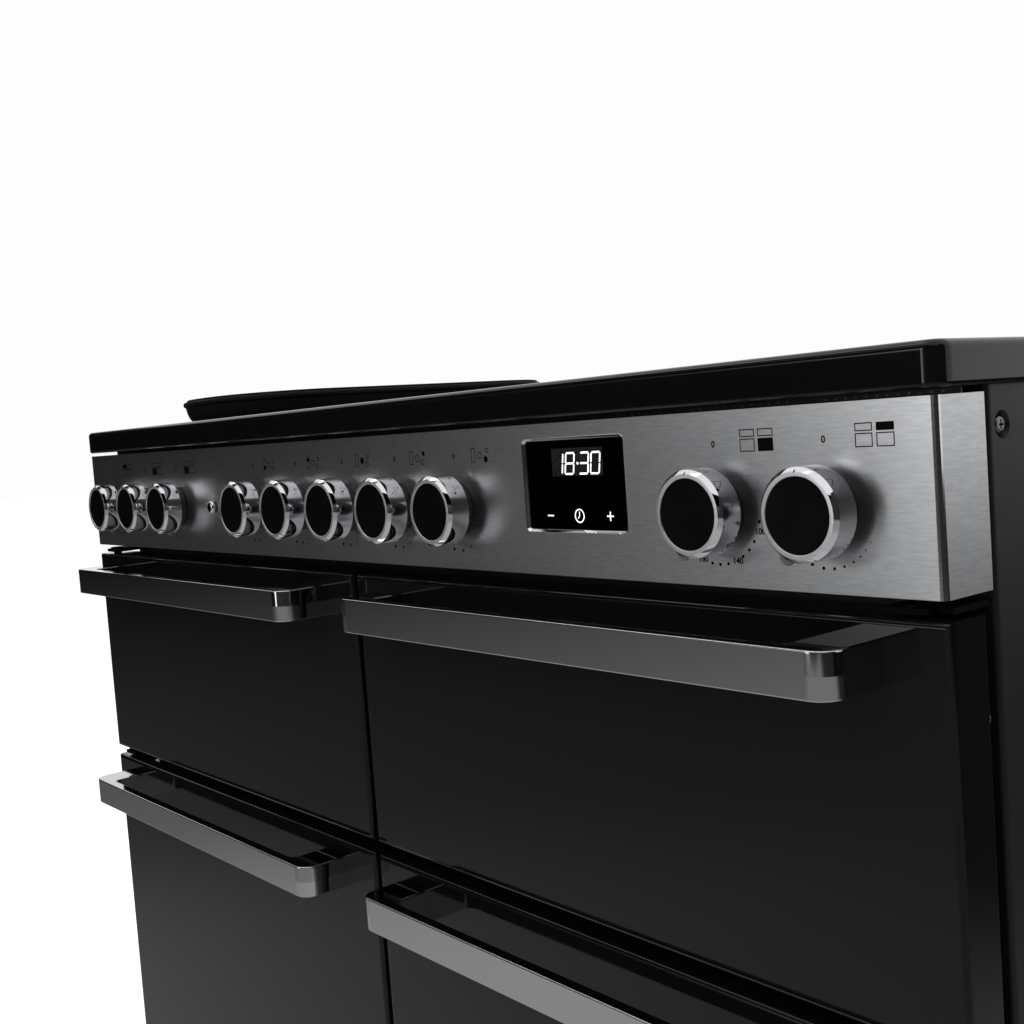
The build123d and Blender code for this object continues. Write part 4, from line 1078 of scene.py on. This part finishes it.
add_piece("display_figures", to_mesh("display_figures", figures, lit), "cabinet")
unlit = uneven("unlit_window", (0.010, 0.009, 0.009), 0.25, 0.35, 300.0, specular=0.2)
x0, z0, x1, z1 = WINDOW
window = rectangle(display_x + x0, display_z + z0, display_x + x1, display_z + z1)
bm = bmesh.new()
prism(bm, window, GLASS_DEPTH + WINDOW_HALF, GLASS_DEPTH - WINDOW_HALF)
bm.transform(onto_panel)
add_piece("display_window", to_mesh("display_window", bm, unlit), "cabinet")
print("window", round(x1 - x0, 1), "by", round(z1 - z0, 1), "mm")

# %% [markdown]
# ## Vent strip under the hob
# Behind the gap between the panel and the hob surround stands a black strip with rows of fine
# holes, where the cooling air goes out. The holes are far too small and many to cut, so Geometry
# Nodes put a light grey metal disc on each one: a painted highlight for the small light specks
# seen at the holes.

# %% Vent strip
VENT_BACK, VENT_INSET, VENT_THICK, VENT_HEIGHT = 26.6, 4, 1.2, 16.8
HOLE_PITCH, HOLES_IN_GROUP, GROUP_PITCH, GROUPS = 6.0, 12, 90.0, range(-5, 6)
HOLE_RISE, HOLE_MARGIN = 1.6, 0.006
HOLE_RADIUS, HOLE_DEPTH, HOLE_SIDES = 0.00065, 0.0001, 8
strip_front = panel_face + VENT_BACK * MM
strip_low = (panel_low[0] + VENT_INSET * MM, strip_front, panel_high[2])
strip_high = (panel_high[0] - VENT_INSET * MM, strip_front + VENT_THICK * MM,
              panel_high[2] + VENT_HEIGHT * MM)
strip_mesh = boxed("vent_strip", strip_low, strip_high, satin_black)
add_piece("vent_strip", strip_mesh, "cabinet")
points = []
for group in GROUPS:
    for hole in range(HOLES_IN_GROUP):
        offset = (hole - (HOLES_IN_GROUP - 1) / 2) * HOLE_PITCH
        x = (group * GROUP_PITCH + offset) * MM
        if abs(x) < strip_high[0] - HOLE_MARGIN:
            points.append((x, strip_front, panel_high[2] + HOLE_RISE * MM, 1.0))
# The light grey of these discs is a painted highlight that stands for the light specks at the
# holes.
hole_highlight = uneven("hole_highlight", (0.09, 0.09, 0.095), 0.3, 0.5, 400.0, 1.0)
mesh = dot_mesh("vent_hole_highlights", points, HOLE_RADIUS, HOLE_DEPTH, HOLE_SIDES, hole_highlight)
add_piece("vent_hole_highlights", mesh, "cabinet")
print(len(points), "holes in the vent strip")

# %% [markdown]
# ## Marks on the glass
# Thin grey rings with a cross in the middle show the five cooking zones. They are fired into the
# glass, so they stand a hair above it.

# %% Hob marks
ZONE_SIDE, ZONE_END = 0.150, 0.118
ZONE_RADIUS, LARGE_ZONE_RADIUS, ZONE_SIDES = 95.0, 115.0, 96
RING_WIDTH, CROSS_REACH, CROSS_HALF = 0.9, 6.0, 0.4
glass_low, glass_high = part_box("hob_glass")
zone_x = (glass_low[0] + ZONE_SIDE, glass_high[0] - ZONE_SIDE)
zone_y = (glass_low[1] + ZONE_END, glass_high[1] - ZONE_END)
glass_middle = (glass_low[1] + glass_high[1]) / 2
zones = [(x, y, ZONE_RADIUS) for x in zone_x for y in zone_y]
zones.append((0.0, glass_middle, LARGE_ZONE_RADIUS))
frit = uneven("glass_frit", (0.22, 0.22, 0.225), 0.3, 0.42, 500.0, specular=0.4)
onto_glass = Matrix.Translation((0, 0, glass_high[2])) @ Matrix.Diagonal((MM, MM, MM, 1))
bm = bmesh.new()
for x, y, radius in zones:
    centre = (x / MM, y / MM)
    inner = circle(*centre, radius - RING_WIDTH, ZONE_SIDES)
    hoop(bm, circle(*centre, radius, ZONE_SIDES), inner)
    prism(bm, cross(*centre, CROSS_REACH, CROSS_HALF))
bm.transform(onto_glass)
add_piece("hob_marks", to_mesh("hob_marks", bm, frit), "cabinet")
print(len(zones), "zones marked")
